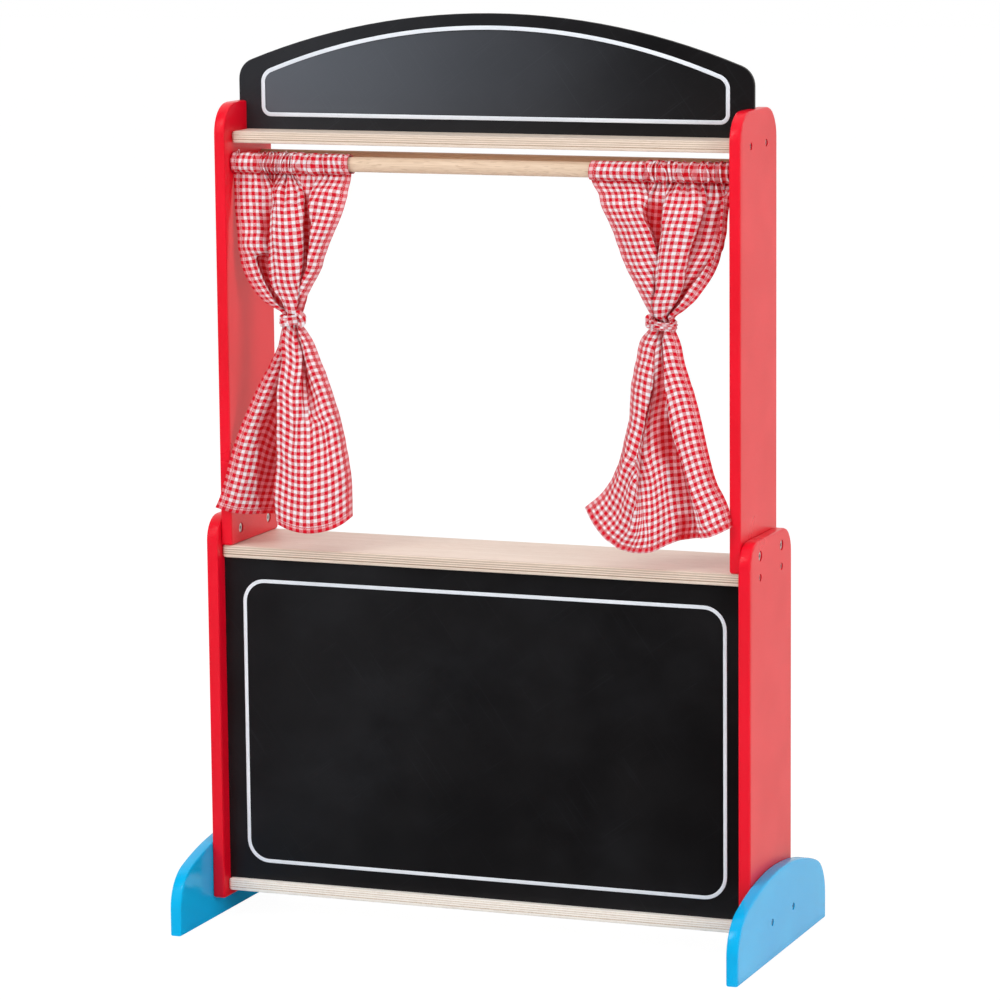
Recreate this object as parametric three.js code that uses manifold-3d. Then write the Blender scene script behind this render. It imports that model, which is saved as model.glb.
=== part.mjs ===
// Puppet theatre stand: a painted board frame with a counter, two chalkboards and a pair of tied curtains.
// Lengths are millimetres. +X is to the right as the audience sees it, +Y to the back and +Z up.
// The origin is on the floor, midway between the two feet.

import * as THREE from 'three';
import { mergeVertices } from 'three/addons/utils/BufferGeometryUtils.js';
import Module from 'manifold-3d';

const wasm = await Module();
wasm.setup();

// Lower frame: side panels, feet and the two shelves between them
const clearWidth = 660;
const lowerBoard = 15;
const lowerPanelDepth = 160;
const lowerPanelLift = 26;
const lowerCornerRadius = 30;
const lowerToeRadius = 5;
const shelfBoard = 15;
const shelfDepth = 137;
const bottomShelfRise = 8.5;
const chalkHeight = 398.5;
const panelLap = 36.5;
const footBoard = 15;
const footLength = 344;
const footHeight = 102.5;
const footRise = 36;
const footCornerRadius = 50;

// Upper frame: side panels that stand on the counter, and the top shelf between them
const upperBoard = 14;
const upperPanelDepth = 139;
const upperPanelHeight = 533.5;
const upperCornerRadius = 36;
const upperToeRadius = 4;
const topShelfBoard = 14;
const topShelfDepth = 100;
const topShelfDrop = 34;

// Boards written on with chalk
const chalkBoard = 6;
const chalkSetback = 8.5;
const chalkTongue = 5;
const signHeight = 140.8;
const signRise = 64;
const signTongue = 9.2;
const signCornerRadius = 25;

// Rods
const rodRadius = 9;
const rodOffset = 42;
const rodDrop = 23;
const rodTongue = 9;
const rodChamfer = 1;

// Rounded arrises of the boards, and the room left round held pieces
const paintArris = 2.5;
const plyArris = 3;
const thinArris = 0.8;
const plyCornerRadius = 5;
const seatGap = 0.3;
const overrun = 4;

// Joint bolts and sleeve nuts, in recesses of the lapped side panels
const fastenerSpread = 82;
const boltRiseShare = 0.493;
const bolt = { head: 5.6, headHeight: 2, recess: 6.4, recessDepth: 3.4, shank: 2.6, tipGap: 1.5 };
const sleeve = { radius: 4.2, bore: 2.9 };
const boltSocket = { radius: 2.6, depth: 1.3 };

// Wood screws with a recessed head, through a side panel into a shelf's end
const screw = { head: 3.9, headHeight: 3, recess: 4.5, recessDepth: 1.4, shank: 2.3, reach: 34 };
const screwTip = { radius: 0.8, length: 6 };
const screwSocket = { radius: 2.1, depth: 1.6 };
const topScrewSpread = 58;
const footScrewRise = 10.5;

// Curtains: cloth gathered on the front rod by a casing, and drawn in at the waist by a knotted band
const clothThickness = 1.6;
const leftSizes = { length: 155, waist: 20, bandHeight: 20, knot: 6 };
const rightSizes = { length: 178, waist: 25, bandHeight: 14, knot: 4.5 };
const casing = { up: 10.2, down: 17.2, depth: 12.4, ripple: 1.1, endGap: 3 };
const curtainDrop = 428;
const cornerClearance = 12.5;
const band = { thickness: 2.2, gap: 0.8, depthShare: 0.76, edgeShare: 0.7 };
const knotShares = { depth: 0.9, height: 1.2, forward: 0.5 };

// Steps along round and folded forms
const roundSteps = 8;
const archSteps = 28;
const arrisSteps = 2;
const rodSteps = 24;
const turnSteps = 14;
const foldSteps = 21;
const dropSteps = 25;
const casingTurnSteps = 14;
const casingSteps = 30;
const bandSteps = 18;
const knotSteps = 10;

// Heights and faces that follow from the sizes
const bottomShelfTop = lowerPanelLift + bottomShelfRise + shelfBoard;
const counterUnder = bottomShelfTop + chalkHeight;
const counterTop = counterUnder + shelfBoard;
const lowerPanelTop = counterTop + panelLap;
const upperPanelTop = counterTop + upperPanelHeight;
const topShelfTop = upperPanelTop - topShelfDrop;
const rodHeight = topShelfTop - topShelfBoard - rodDrop;
const lowerInner = clearWidth / 2;
const lowerOuter = lowerInner + lowerBoard;
const upperInner = lowerInner - upperBoard;
const chalkFront = -shelfDepth / 2 + chalkSetback;
const boltHeight = counterTop + panelLap * boltRiseShare;
const counterScrewHeight = counterTop - shelfBoard / 2;
const topScrewHeight = topShelfTop - topShelfBoard / 2;
const footScrewHeight = lowerPanelLift + bottomShelfRise + footScrewRise;
const clothReach = upperPanelDepth / 2 - rodOffset + cornerClearance;

const sides = [
  { name: 'left', sign: -1 },
  { name: 'right', sign: 1 },
];
const bothEnds = [-1, 1];

// Finishes
const finish = (color, roughness, metalness = 0) => new THREE.MeshStandardMaterial(
  { color, roughness, metalness });
const redPaint = finish(0xe8203a, 0.45);
const bluePaint = finish(0x22aee0, 0.4);
const birchPly = finish(0xe3cfb8, 0.6);
const beech = finish(0xe6c6a4, 0.55);
const blackboard = finish(0x232226, 0.85);
const zinc = finish(0xb9bcc0, 0.35, 0.9);
const gingham = finish(0xd9788a, 0.9);

// Turns a closed geometry into a solid that can be cut and joined.
function solidFrom(geometry) {
  const bare = geometry.clone();
  bare.deleteAttribute('normal');
  bare.deleteAttribute('uv');
  const merged = mergeVertices(bare);
  const index = merged.index.array;
  const triangles = [];
  for (let i = 0; i < index.length; i += 3) {
    const corners = [index[i], index[i + 1], index[i + 2]];
    if (new Set(corners).size === corners.length) triangles.push(...corners);
  }
  return new wasm.Manifold(new wasm.Mesh({
    numProp: 3,
    vertProperties: new Float32Array(merged.attributes.position.array),
    triVerts: new Uint32Array(triangles),
  }));
}

// Joins closed geometries into one solid.
const joined = (parts) => parts.map(solidFrom).reduce((whole, part) => whole.add(part));

// Takes the given closed geometries out of a solid.
const cut = (solid, tools) => tools.reduce((rest, tool) => rest.subtract(solidFrom(tool)), solid);

// Makes a named mesh from a solid.
function piece(name, solid, material) {
  const { vertProperties, triVerts } = solid.getMesh();
  const geometry = new THREE.BufferGeometry();
  geometry.setAttribute('position', new THREE.BufferAttribute(vertProperties, 3));
  geometry.setIndex(new THREE.BufferAttribute(triVerts, 1));
  geometry.computeVertexNormals();
  const mesh = new THREE.Mesh(geometry, material);
  mesh.name = name;
  return mesh;
}

// Points along an arc, from one angle to another, both included.
function arcPoints(x, y, radius, from, to, steps) {
  const points = [];
  for (let i = 0; i <= steps; i += 1) {
    const angle = from + (to - from) * (i / steps);
    points.push(new THREE.Vector2(x + radius * Math.cos(angle), y + radius * Math.sin(angle)));
  }
  return points;
}

// A rectangle's outline with one radius at its two top corners and another at its two bottom ones.
function roundedOutline(width, bottom, top, topRadius, bottomRadius) {
  const half = width / 2;
  const upper = Math.min(topRadius, half, (top - bottom) / 2);
  const lower = Math.min(bottomRadius, half, (top - bottom) / 2);
  return [
    ...arcPoints(half - lower, bottom + lower, lower, -Math.PI / 2, 0, roundSteps),
    ...arcPoints(half - upper, top - upper, upper, 0, Math.PI / 2, roundSteps),
    ...arcPoints(-half + upper, top - upper, upper, Math.PI / 2, Math.PI, roundSteps),
    ...arcPoints(-half + lower, bottom + lower, lower, Math.PI, 1.5 * Math.PI, roundSteps),
  ];
}

// An outline with a flat foot, upright ends and an arched top, rounded where the arch meets the ends.
function archedOutline(length, bottom, top, rise, cornerRadius) {
  const half = length / 2;
  const archRadius = (half ** 2 + rise ** 2) / (2 * rise);
  const archCentre = top - archRadius;
  const corner = Math.min(cornerRadius, half, archRadius / 2);
  const cornerX = half - corner;
  const cornerY = archCentre + Math.sqrt((archRadius - corner) ** 2 - cornerX ** 2);
  const meeting = Math.atan2(cornerY - archCentre, cornerX);
  return [
    new THREE.Vector2(half, bottom),
    ...arcPoints(cornerX, cornerY, corner, 0, meeting, roundSteps),
    ...arcPoints(0, archCentre, archRadius, meeting, Math.PI - meeting, archSteps).slice(1, -1),
    ...arcPoints(-cornerX, cornerY, corner, Math.PI - meeting, Math.PI, roundSteps),
    new THREE.Vector2(-half, bottom),
  ];
}

// A board cut to an outline, with its arrises rounded over. It lies on the outline's own plane.
function board(outline, thickness, arris) {
  const rounding = Math.min(arris, thickness / 2);
  const geometry = new THREE.ExtrudeGeometry(new THREE.Shape(outline), {
    depth: thickness - 2 * rounding,
    bevelThickness: rounding,
    bevelSize: rounding,
    bevelOffset: -rounding,
    bevelSegments: arrisSteps,
  });
  return geometry.translate(0, 0, rounding);
}

// Turns a board so that its outline lies in depth and height, with its inner face at a given place across.
function sideBoard(outline, thickness, arris, sign, inner) {
  const upright = new THREE.Matrix4().makeBasis(
    new THREE.Vector3(0, 1, 0), new THREE.Vector3(0, 0, 1), new THREE.Vector3(1, 0, 0));
  const start = sign > 0 ? inner : -inner - thickness;
  return board(outline, thickness, arris).applyMatrix4(upright).translate(start, 0, 0);
}

// Turns a board so that its outline lies in width and height, with its front face at a given depth.
function frontBoard(outline, thickness, arris, front) {
  return board(outline, thickness, arris).rotateX(Math.PI / 2).translate(0, front + thickness, 0);
}

// A level board with its underside at a given height.
function levelBoard(length, depth, thickness, arris, under) {
  const outline = roundedOutline(length, -depth / 2, depth / 2, plyCornerRadius, plyCornerRadius);
  return board(outline, thickness, arris).translate(0, 0, under);
}

// A plain block between two corners.
function block(low, high) {
  const size = high.map((value, axis) => value - low[axis]);
  const middle = high.map((value, axis) => (value + low[axis]) / 2);
  return new THREE.BoxGeometry(...size).translate(...middle);
}

// A plain block on one side of the stand, given its limits outwards from the middle, in depth and in height.
function sideBlock(sign, [inner, outer], [front, back], [low, high]) {
  const across = [sign * inner, sign * outer].sort((a, b) => a - b);
  return block([across[0], front, low], [across[1], back, high]);
}

// A round bar along X, between two places on one side of the stand.
function bar(radius, from, to, sign, y, z, steps = turnSteps) {
  return new THREE.CylinderGeometry(radius, radius, Math.abs(to - from), steps)
    .rotateZ(Math.PI / 2)
    .translate(sign * (from + to) / 2, y, z);
}

// A turned piece on an axis along X. Its profile lists radii and the distances from the middle of the stand.
function turned(profile, sign, y, z) {
  const points = profile.map(([radius, along]) => new THREE.Vector2(radius, along));
  return new THREE.LatheGeometry(points, turnSteps).rotateZ(-sign * Math.PI / 2).translate(0, y, z);
}

// The places of a pair of fasteners, front and back.
const pairAt = (spread) => bothEnds.map((end) => end * spread / 2);
const placeName = (y) => (y < 0 ? 'front' : 'back');

// Lower side panels, with recesses for bolts and screws and a groove for the chalkboard
function lowerPanel({ name, sign }) {
  const outline = roundedOutline(
    lowerPanelDepth, lowerPanelLift, lowerPanelTop, lowerCornerRadius, lowerToeRadius);
  const holes = [sideBlock(sign, [lowerInner - overrun, lowerInner + chalkTongue + seatGap],
    [chalkFront - seatGap, chalkFront + chalkBoard + seatGap],
    [bottomShelfTop - chalkTongue - seatGap, counterUnder + chalkTongue + seatGap])];
  for (const y of pairAt(fastenerSpread)) {
    holes.push(bar(bolt.recess, lowerOuter - bolt.recessDepth, lowerOuter + overrun, sign, y, boltHeight));
    holes.push(bar(sleeve.radius + seatGap, lowerInner - overrun, lowerOuter, sign, y, boltHeight));
    holes.push(bar(screw.recess, lowerOuter - screw.recessDepth - screw.headHeight, lowerOuter + overrun,
      sign, y, counterScrewHeight));
    holes.push(bar(screw.shank + seatGap, lowerInner - overrun, lowerOuter, sign, y, counterScrewHeight));
    holes.push(bar(screw.shank + seatGap, lowerInner - overrun, lowerOuter + overrun,
      sign, y, footScrewHeight));
  }
  const solid = solidFrom(sideBoard(outline, lowerBoard, paintArris, sign, lowerInner));
  return piece(`${name}_lower_side_panel`, cut(solid, holes), redPaint);
}

// Feet: arched boards on the outside of the lower panels, with recessed screws
function foot({ name, sign }) {
  const outline = archedOutline(footLength, 0, footHeight, footRise, footCornerRadius);
  const outer = lowerOuter + footBoard;
  const holes = pairAt(fastenerSpread).flatMap((y) => [
    bar(screw.recess, outer - screw.recessDepth - screw.headHeight, outer + overrun,
      sign, y, footScrewHeight),
    bar(screw.shank + seatGap, lowerOuter - overrun, outer, sign, y, footScrewHeight),
  ]);
  const solid = solidFrom(sideBoard(outline, footBoard, paintArris, sign, lowerOuter));
  return piece(`${name}_foot`, cut(solid, holes), bluePaint);
}

// Upper side panels, with an open groove for the sign, blind rod sockets and recesses for the sleeve nuts
function upperPanel({ name, sign }) {
  const outline = roundedOutline(
    upperPanelDepth, counterTop, upperPanelTop, upperCornerRadius, upperToeRadius);
  const holes = [sideBlock(sign, [upperInner - overrun, upperInner + signTongue + seatGap],
    [-chalkBoard / 2 - seatGap, chalkBoard / 2 + seatGap], [topShelfTop, upperPanelTop + overrun])];
  for (const end of bothEnds) {
    holes.push(bar(rodRadius + seatGap, upperInner - overrun, upperInner + rodTongue + seatGap,
      sign, end * rodOffset, rodHeight, rodSteps));
  }
  for (const y of pairAt(fastenerSpread)) {
    holes.push(bar(bolt.recess, upperInner - overrun, upperInner + bolt.recessDepth, sign, y, boltHeight));
    holes.push(bar(sleeve.radius + seatGap, upperInner, lowerInner + overrun, sign, y, boltHeight));
  }
  for (const y of pairAt(topScrewSpread)) {
    holes.push(bar(screw.recess, lowerInner - screw.recessDepth - screw.headHeight, lowerInner + overrun,
      sign, y, topScrewHeight));
    holes.push(bar(screw.shank + seatGap, upperInner - overrun, lowerInner, sign, y, topScrewHeight));
  }
  const solid = solidFrom(sideBoard(outline, upperBoard, paintArris, sign, upperInner));
  return piece(`${name}_upper_side_panel`, cut(solid, holes), redPaint);
}

// Screw holes in both ends of a shelf
function shelfHoles(end, headSeat, spread, z) {
  return bothEnds.flatMap((sign) => pairAt(spread).map((y) => bar(
    screw.shank + seatGap, headSeat - screw.headHeight - screw.reach - seatGap, end + overrun, sign, y, z)));
}

// A groove for the lower chalkboard along a shelf's face
function chalkGroove(low, high) {
  return block([-lowerInner - overrun, chalkFront - seatGap, low],
    [lowerInner + overrun, chalkFront + chalkBoard + seatGap, high]);
}

function shelves() {
  const counter = solidFrom(levelBoard(clearWidth, shelfDepth, shelfBoard, plyArris, counterUnder));
  const bottom = solidFrom(levelBoard(
    clearWidth, shelfDepth, shelfBoard, plyArris, bottomShelfTop - shelfBoard));
  const top = solidFrom(levelBoard(
    2 * upperInner, topShelfDepth, topShelfBoard, plyArris, topShelfTop - topShelfBoard));
  const lowerHead = lowerOuter - screw.recessDepth;
  const footHead = lowerOuter + footBoard - screw.recessDepth;
  const topHead = lowerInner - screw.recessDepth;
  return [
    piece('counter_shelf', cut(counter, [
      chalkGroove(counterUnder - overrun, counterUnder + chalkTongue + seatGap),
      ...shelfHoles(lowerInner, lowerHead, fastenerSpread, counterScrewHeight),
    ]), birchPly),
    piece('bottom_shelf', cut(bottom, [
      chalkGroove(bottomShelfTop - chalkTongue - seatGap, bottomShelfTop + overrun),
      ...shelfHoles(lowerInner, footHead, fastenerSpread, footScrewHeight),
    ]), birchPly),
    piece('top_shelf', cut(top, shelfHoles(upperInner, topHead, topScrewSpread, topScrewHeight)), birchPly),
  ];
}

function chalkboards() {
  const lowerHalf = lowerInner + chalkTongue;
  const lower = block([-lowerHalf, chalkFront, bottomShelfTop - chalkTongue],
    [lowerHalf, chalkFront + chalkBoard, counterUnder + chalkTongue]);
  const signOutline = archedOutline(2 * (upperInner + signTongue), topShelfTop, topShelfTop + signHeight,
    signRise, signCornerRadius);
  const sign = frontBoard(signOutline, chalkBoard, thinArris, -chalkBoard / 2);
  return [
    piece('lower_chalkboard', solidFrom(lower), blackboard),
    piece('sign_chalkboard', solidFrom(sign), blackboard),
  ];
}

// Rods, chamfered at both ends and held in the blind sockets
function rod(name, y) {
  const half = upperInner + rodTongue;
  const profile = [[0, -half], [rodRadius - rodChamfer, -half], [rodRadius, -half + rodChamfer],
    [rodRadius, half - rodChamfer], [rodRadius - rodChamfer, half], [0, half]];
  const points = profile.map(([radius, along]) => new THREE.Vector2(radius, along));
  const geometry = new THREE.LatheGeometry(points, rodSteps).rotateZ(-Math.PI / 2);
  return piece(name, solidFrom(geometry.translate(0, y, rodHeight)), beech);
}

// A six-sided key socket, sunk into a head
function keySocket(socket, face, inward, sign, y, z) {
  return bar(socket.radius, face - inward * overrun, face + inward * socket.depth, sign, y, z, 6);
}

// A pair of identical fasteners, one at the front and one at the back
const pair = (side, name, spread, make) => pairAt(spread).map(
  (y) => piece(`${side}_${placeName(y)}_${name}`, make(y), zinc));

// Joint bolts from the outside, and sleeve nuts from the inside of the lapped panels
function jointFasteners({ name, sign }) {
  const boltFace = lowerOuter - bolt.recessDepth + bolt.headHeight;
  const boltSeat = lowerOuter - bolt.recessDepth;
  const nutSeat = upperInner + bolt.recessDepth;
  const nutFace = nutSeat - bolt.headHeight;
  const nutEnd = lowerInner + seatGap;
  const bolts = pair(name, 'joint_bolt', fastenerSpread, (y) => {
    const tip = nutSeat + bolt.tipGap;
    const body = turned([[0, tip], [bolt.shank, tip], [bolt.shank, boltSeat], [bolt.head, boltSeat],
      [bolt.head, boltFace], [0, boltFace]], sign, y, boltHeight);
    return cut(solidFrom(body), [keySocket(boltSocket, boltFace, -1, sign, y, boltHeight)]);
  });
  const nuts = pair(name, 'sleeve_nut', fastenerSpread, (y) => {
    const body = turned([[0, nutFace], [bolt.head, nutFace], [bolt.head, nutSeat], [sleeve.radius, nutSeat],
      [sleeve.radius, nutEnd], [sleeve.bore, nutEnd], [sleeve.bore, nutSeat], [0, nutSeat]],
    sign, y, boltHeight);
    return cut(solidFrom(body), [keySocket(boltSocket, nutFace, 1, sign, y, boltHeight)]);
  });
  return [...bolts, ...nuts];
}

// Wood screws whose heads sit below a panel's outer face
function screws(side, name, outerFace, spread, z) {
  const face = outerFace - screw.recessDepth;
  const seat = face - screw.headHeight;
  const end = seat - screw.reach;
  return pair(side.name, name, spread, (y) => {
    const body = turned([[0, end], [screwTip.radius, end], [screw.shank, end + screwTip.length],
      [screw.shank, seat], [screw.head, seat], [screw.head, face], [0, face]], side.sign, y, z);
    return cut(solidFrom(body), [keySocket(screwSocket, face, -1, side.sign, y, z)]);
  });
}

// Where the folds of a curtain run. Each row is one height: down is a share of the drop, across are shares of
// the casing's length from the side panel inwards, and forward are shares of how far the cloth reaches in
// front of the rod. The rows named waist lie at the top and bottom edge of the tie-back.
const leftFolds = {
  waistShares: { down: 0.395, across: 0.484 },
  rows: [
    { downShares: 0, acrossShares: [0.02, 0.28, 0.32, 0.35, 0.55, 0.59, 0.65, 0.99],
      forwardShares: [0.05, 0.15, -0.05, 0.15, 0.15, -0.05, 0.15, 0.05] },
    { downShares: 0.11, acrossShares: [0.03, 0.29, 0.34, 0.35, 0.59, 0.61, 0.66, 0.9],
      forwardShares: [0.1, 0.2, -0.05, 0.5, 0.45, 0, 0.35, 0.2] },
    { downShares: 0.24, acrossShares: [0.08, 0.27, 0.34, 0.37, 0.59, 0.6, 0.65, 0.735],
      forwardShares: [0.2, 0.05, -0.05, 0.58, 0.5, 0.03, 0.38, 0.2] },
    { downShares: 0.325, acrossShares: [0.23, 0.33, 0.39, 0.44, 0.56, 0.58, 0.61, 0.63],
      forwardShares: [0.2, 0.08, 0.02, 0.46, 0.42, 0.08, 0.32, 0.2] },
    { waist: -1, acrossShares: [-1, -0.72, -0.45, -0.18, 0.18, 0.45, 0.72, 1],
      forwardShares: [0.18, 0.36, 0.14, 0.38, 0.38, 0.14, 0.36, 0.18] },
    { waist: 1, acrossShares: [-1, -0.72, -0.45, -0.18, 0.18, 0.45, 0.72, 1],
      forwardShares: [0.18, 0.36, 0.14, 0.38, 0.38, 0.14, 0.36, 0.18] },
    { downShares: 0.47, acrossShares: [0.37, 0.42, 0.44, 0.455, 0.53, 0.55, 0.57, 0.61],
      forwardShares: [0.22, 0.45, 0.12, 0.56, 0.56, 0.22, 0.42, 0.22] },
    { downShares: 0.6, acrossShares: [0.2, 0.35, 0.4, 0.44, 0.65, 0.69, 0.74, 0.825],
      forwardShares: [0.45, 0.25, 0.1, 0.8, 0.8, 0.5, 0.55, 0.35] },
    { downShares: 0.79, acrossShares: [0.03, 0.34, 0.39, 0.41, 0.76, 0.83, 0.91, 1.01],
      forwardShares: [0.85, 0.4, 0.2, 1, 1.12, 0.88, 0.82, 0.6] },
    { downShares: 1, acrossShares: [-0.08, 0.35, 0.41, 0.45, 0.81, 0.93, 0.99, 1.04],
      forwardShares: [1, 0.45, 0.25, 1.1, 1.32, 1.18, 0.98, 0.78],
      liftShares: [0.075, 0.058, 0.047, 0.016, 0.016, 0.021, 0.03, 0.063] },
  ],
};
const rightFolds = {
  waistShares: { down: 0.37, across: 0.486 },
  rows: [
    { downShares: 0, acrossShares: [0.03, 0.08, 0.17, 0.2, 0.48, 0.6, 0.62, 0.95],
      forwardShares: [0.05, 0.15, -0.05, 0.2, 0.2, -0.05, 0.2, 0.08] },
    { downShares: 0.1, acrossShares: [0.04, 0.09, 0.16, 0.21, 0.48, 0.58, 0.61, 0.865],
      forwardShares: [0.1, 0.25, 0.03, 0.5, 0.45, 0, 0.45, 0.2] },
    { downShares: 0.22, acrossShares: [0.1, 0.13, 0.24, 0.32, 0.49, 0.51, 0.53, 0.745],
      forwardShares: [0.15, 0.33, 0.08, 0.55, 0.58, 0.1, 0.45, 0.18] },
    { downShares: 0.305, acrossShares: [0.27, 0.36, 0.385, 0.4, 0.53, 0.545, 0.56, 0.64],
      forwardShares: [0.2, 0.35, 0.06, 0.46, 0.5, 0.1, 0.4, 0.2] },
    { waist: -1, acrossShares: [-1, -0.72, -0.45, -0.18, 0.18, 0.45, 0.72, 1],
      forwardShares: [0.18, 0.38, 0.12, 0.4, 0.4, 0.12, 0.38, 0.18] },
    { waist: 1, acrossShares: [-1, -0.72, -0.45, -0.18, 0.18, 0.45, 0.72, 1],
      forwardShares: [0.18, 0.38, 0.12, 0.4, 0.4, 0.12, 0.38, 0.18] },
    { downShares: 0.44, acrossShares: [0.35, 0.4, 0.45, 0.475, 0.495, 0.515, 0.545, 0.62],
      forwardShares: [0.2, 0.45, 0.55, 0.15, 0.1, 0.15, 0.5, 0.2] },
    { downShares: 0.6, acrossShares: [0.225, 0.32, 0.415, 0.445, 0.48, 0.505, 0.525, 0.69],
      forwardShares: [0.4, 0.65, 0.7, 0.2, 0.15, 0.25, 0.65, 0.35] },
    { downShares: 0.78, acrossShares: [0.085, 0.19, 0.29, 0.36, 0.46, 0.56, 0.66, 0.79],
      forwardShares: [0.5, 0.75, 0.85, 0.38, 0.5, 0.95, 0.95, 0.55] },
    { downShares: 1, acrossShares: [-0.01, 0.11, 0.21, 0.27, 0.45, 0.53, 0.76, 0.98],
      forwardShares: [0.8, 0.88, 0.9, 0.4, 0.7, 1.28, 1.33, 0.75],
      liftShares: [0.084, 0.056, 0.047, 0.04, 0.023, 0.002, 0.019, 0.117] },
  ],
};
const waistForwardShare = 0.26;

const curtains = [
  { name: 'left', sign: -1, ...leftSizes, folds: leftFolds },
  { name: 'right', sign: 1, ...rightSizes, folds: rightFolds },
];

// A place across the stand, given how far in from a side panel it is
const fromPanel = (sign, inset) => sign * (upperInner - inset);
const dropTop = rodHeight - casing.down - seatGap;
const waistInset = (curtain) => curtain.length * curtain.folds.waistShares.across;
const waistHeight = (curtain) => dropTop - curtainDrop * curtain.folds.waistShares.down;

// One row of fold places as points in space
function foldRow(curtain, row) {
  return row.acrossShares.map((share, column) => {
    const depth = -rodOffset - row.forwardShares[column] * clothReach;
    if (row.waist !== undefined) {
      const inset = waistInset(curtain) + share * curtain.waist / 2;
      const height = waistHeight(curtain) - row.waist * (curtain.bandHeight / 2 + seatGap);
      return new THREE.Vector3(fromPanel(curtain.sign, inset), depth, height);
    }
    const lift = row.liftShares ? row.liftShares[column] : 0;
    const height = dropTop - (row.downShares - lift) * curtainDrop;
    return new THREE.Vector3(fromPanel(curtain.sign, share * curtain.length), depth, height);
  });
}

// The middle surface of the hanging cloth: smooth across the folds in each row, then smooth down each column
function clothSurface(curtain) {
  const acrossCurves = curtain.folds.rows.map((row) => new THREE.CatmullRomCurve3(foldRow(curtain, row)));
  const columns = [];
  for (let i = 0; i <= foldSteps; i += 1) {
    const down = new THREE.CatmullRomCurve3(acrossCurves.map((curve) => curve.getPoint(i / foldSteps)));
    const column = [];
    for (let j = 0; j <= dropSteps; j += 1) column.push(down.getPoint(j / dropSteps));
    columns.push(column);
  }
  return columns;
}

// A closed shell from a grid of points, thickened level with the floor to both sides of it
function thickSheet(columns) {
  const across = columns.length;
  const along = columns[0].length;
  const positions = [];
  for (const side of bothEnds) {
    for (let i = 0; i < across; i += 1) {
      for (let j = 0; j < along; j += 1) {
        const before = columns[Math.max(i - 1, 0)][j];
        const after = columns[Math.min(i + 1, across - 1)][j];
        const normal = new THREE.Vector3(after.y - before.y, before.x - after.x, 0).normalize();
        const point = columns[i][j].clone().addScaledVector(normal, side * clothThickness / 2);
        positions.push(point.x, point.y, point.z);
      }
    }
  }
  const at = (side, i, j) => (side * across + i) * along + j;
  const triangles = [];
  const quad = (a, b, c, d) => triangles.push(a, b, c, a, c, d);
  for (let i = 0; i < across - 1; i += 1) {
    for (let j = 0; j < along - 1; j += 1) {
      quad(at(0, i, j), at(0, i + 1, j), at(0, i + 1, j + 1), at(0, i, j + 1));
      quad(at(1, i, j), at(1, i, j + 1), at(1, i + 1, j + 1), at(1, i + 1, j));
    }
    quad(at(0, i, 0), at(1, i, 0), at(1, i + 1, 0), at(0, i + 1, 0));
    quad(at(0, i, along - 1), at(0, i + 1, along - 1), at(1, i + 1, along - 1), at(1, i, along - 1));
  }
  for (let j = 0; j < along - 1; j += 1) {
    quad(at(0, 0, j), at(0, 0, j + 1), at(1, 0, j + 1), at(1, 0, j));
    quad(at(0, across - 1, j), at(1, across - 1, j), at(1, across - 1, j + 1), at(0, across - 1, j + 1));
  }
  return indexed(positions, triangles);
}

// A geometry from corner places and the triangles between them
function indexed(positions, triangles) {
  const geometry = new THREE.BufferGeometry();
  geometry.setAttribute('position', new THREE.Float32BufferAttribute(positions, 3));
  geometry.setIndex(triangles);
  return geometry;
}

// A closed tube of cloth along X: rings of an outer and an inner loop, rippled by the gathers
function gatheredTube(curtain) {
  const start = casing.endGap;
  const rings = [];
  for (let i = 0; i <= casingSteps; i += 1) {
    const x = fromPanel(curtain.sign, start + (curtain.length - start) * (i / casingSteps));
    const ring = [];
    for (let k = 0; k < casingTurnSteps; k += 1) {
      const angle = 2 * Math.PI * (k / casingTurnSteps);
      const wave = i % 2 === k % 2 ? 0 : casing.ripple;
      const height = Math.sin(angle) > 0 ? casing.up : casing.down;
      const stretch = Math.sin(angle) > 0 ? 0 : wave;
      ring.push(new THREE.Vector3(x, -rodOffset + (casing.depth - wave) * Math.cos(angle),
        rodHeight + (height - stretch) * Math.sin(angle)));
    }
    rings.push(ring);
  }
  const inner = [rings[0], rings[casingSteps]].map((ring) => ring.map((point, k) => {
    const angle = 2 * Math.PI * (k / casingTurnSteps);
    const radius = (rodRadius + seatGap) / Math.cos(Math.PI / casingTurnSteps);
    return new THREE.Vector3(
      point.x, -rodOffset + radius * Math.cos(angle), rodHeight + radius * Math.sin(angle));
  }));
  const loops = [inner[0], ...rings, inner[1]];
  return ringShell([...loops, loops[0]], curtain.sign);
}

// A closed shell through a list of loops whose last one is the first again
function ringShell(loops, sign) {
  const count = loops[0].length;
  const distinct = loops.slice(0, -1);
  const positions = distinct.flatMap((loop) => loop.flatMap((point) => [point.x, point.y, point.z]));
  const triangles = [];
  for (let i = 0; i < distinct.length; i += 1) {
    const next = (i + 1) % distinct.length;
    for (let k = 0; k < count; k += 1) {
      const turn = (k + 1) % count;
      const corners = [i * count + k, i * count + turn, next * count + turn, next * count + k];
      const [a, b, c, d] = sign < 0 ? corners : [...corners].reverse();
      triangles.push(a, b, c, a, c, d);
    }
  }
  return indexed(positions, triangles);
}

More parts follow.
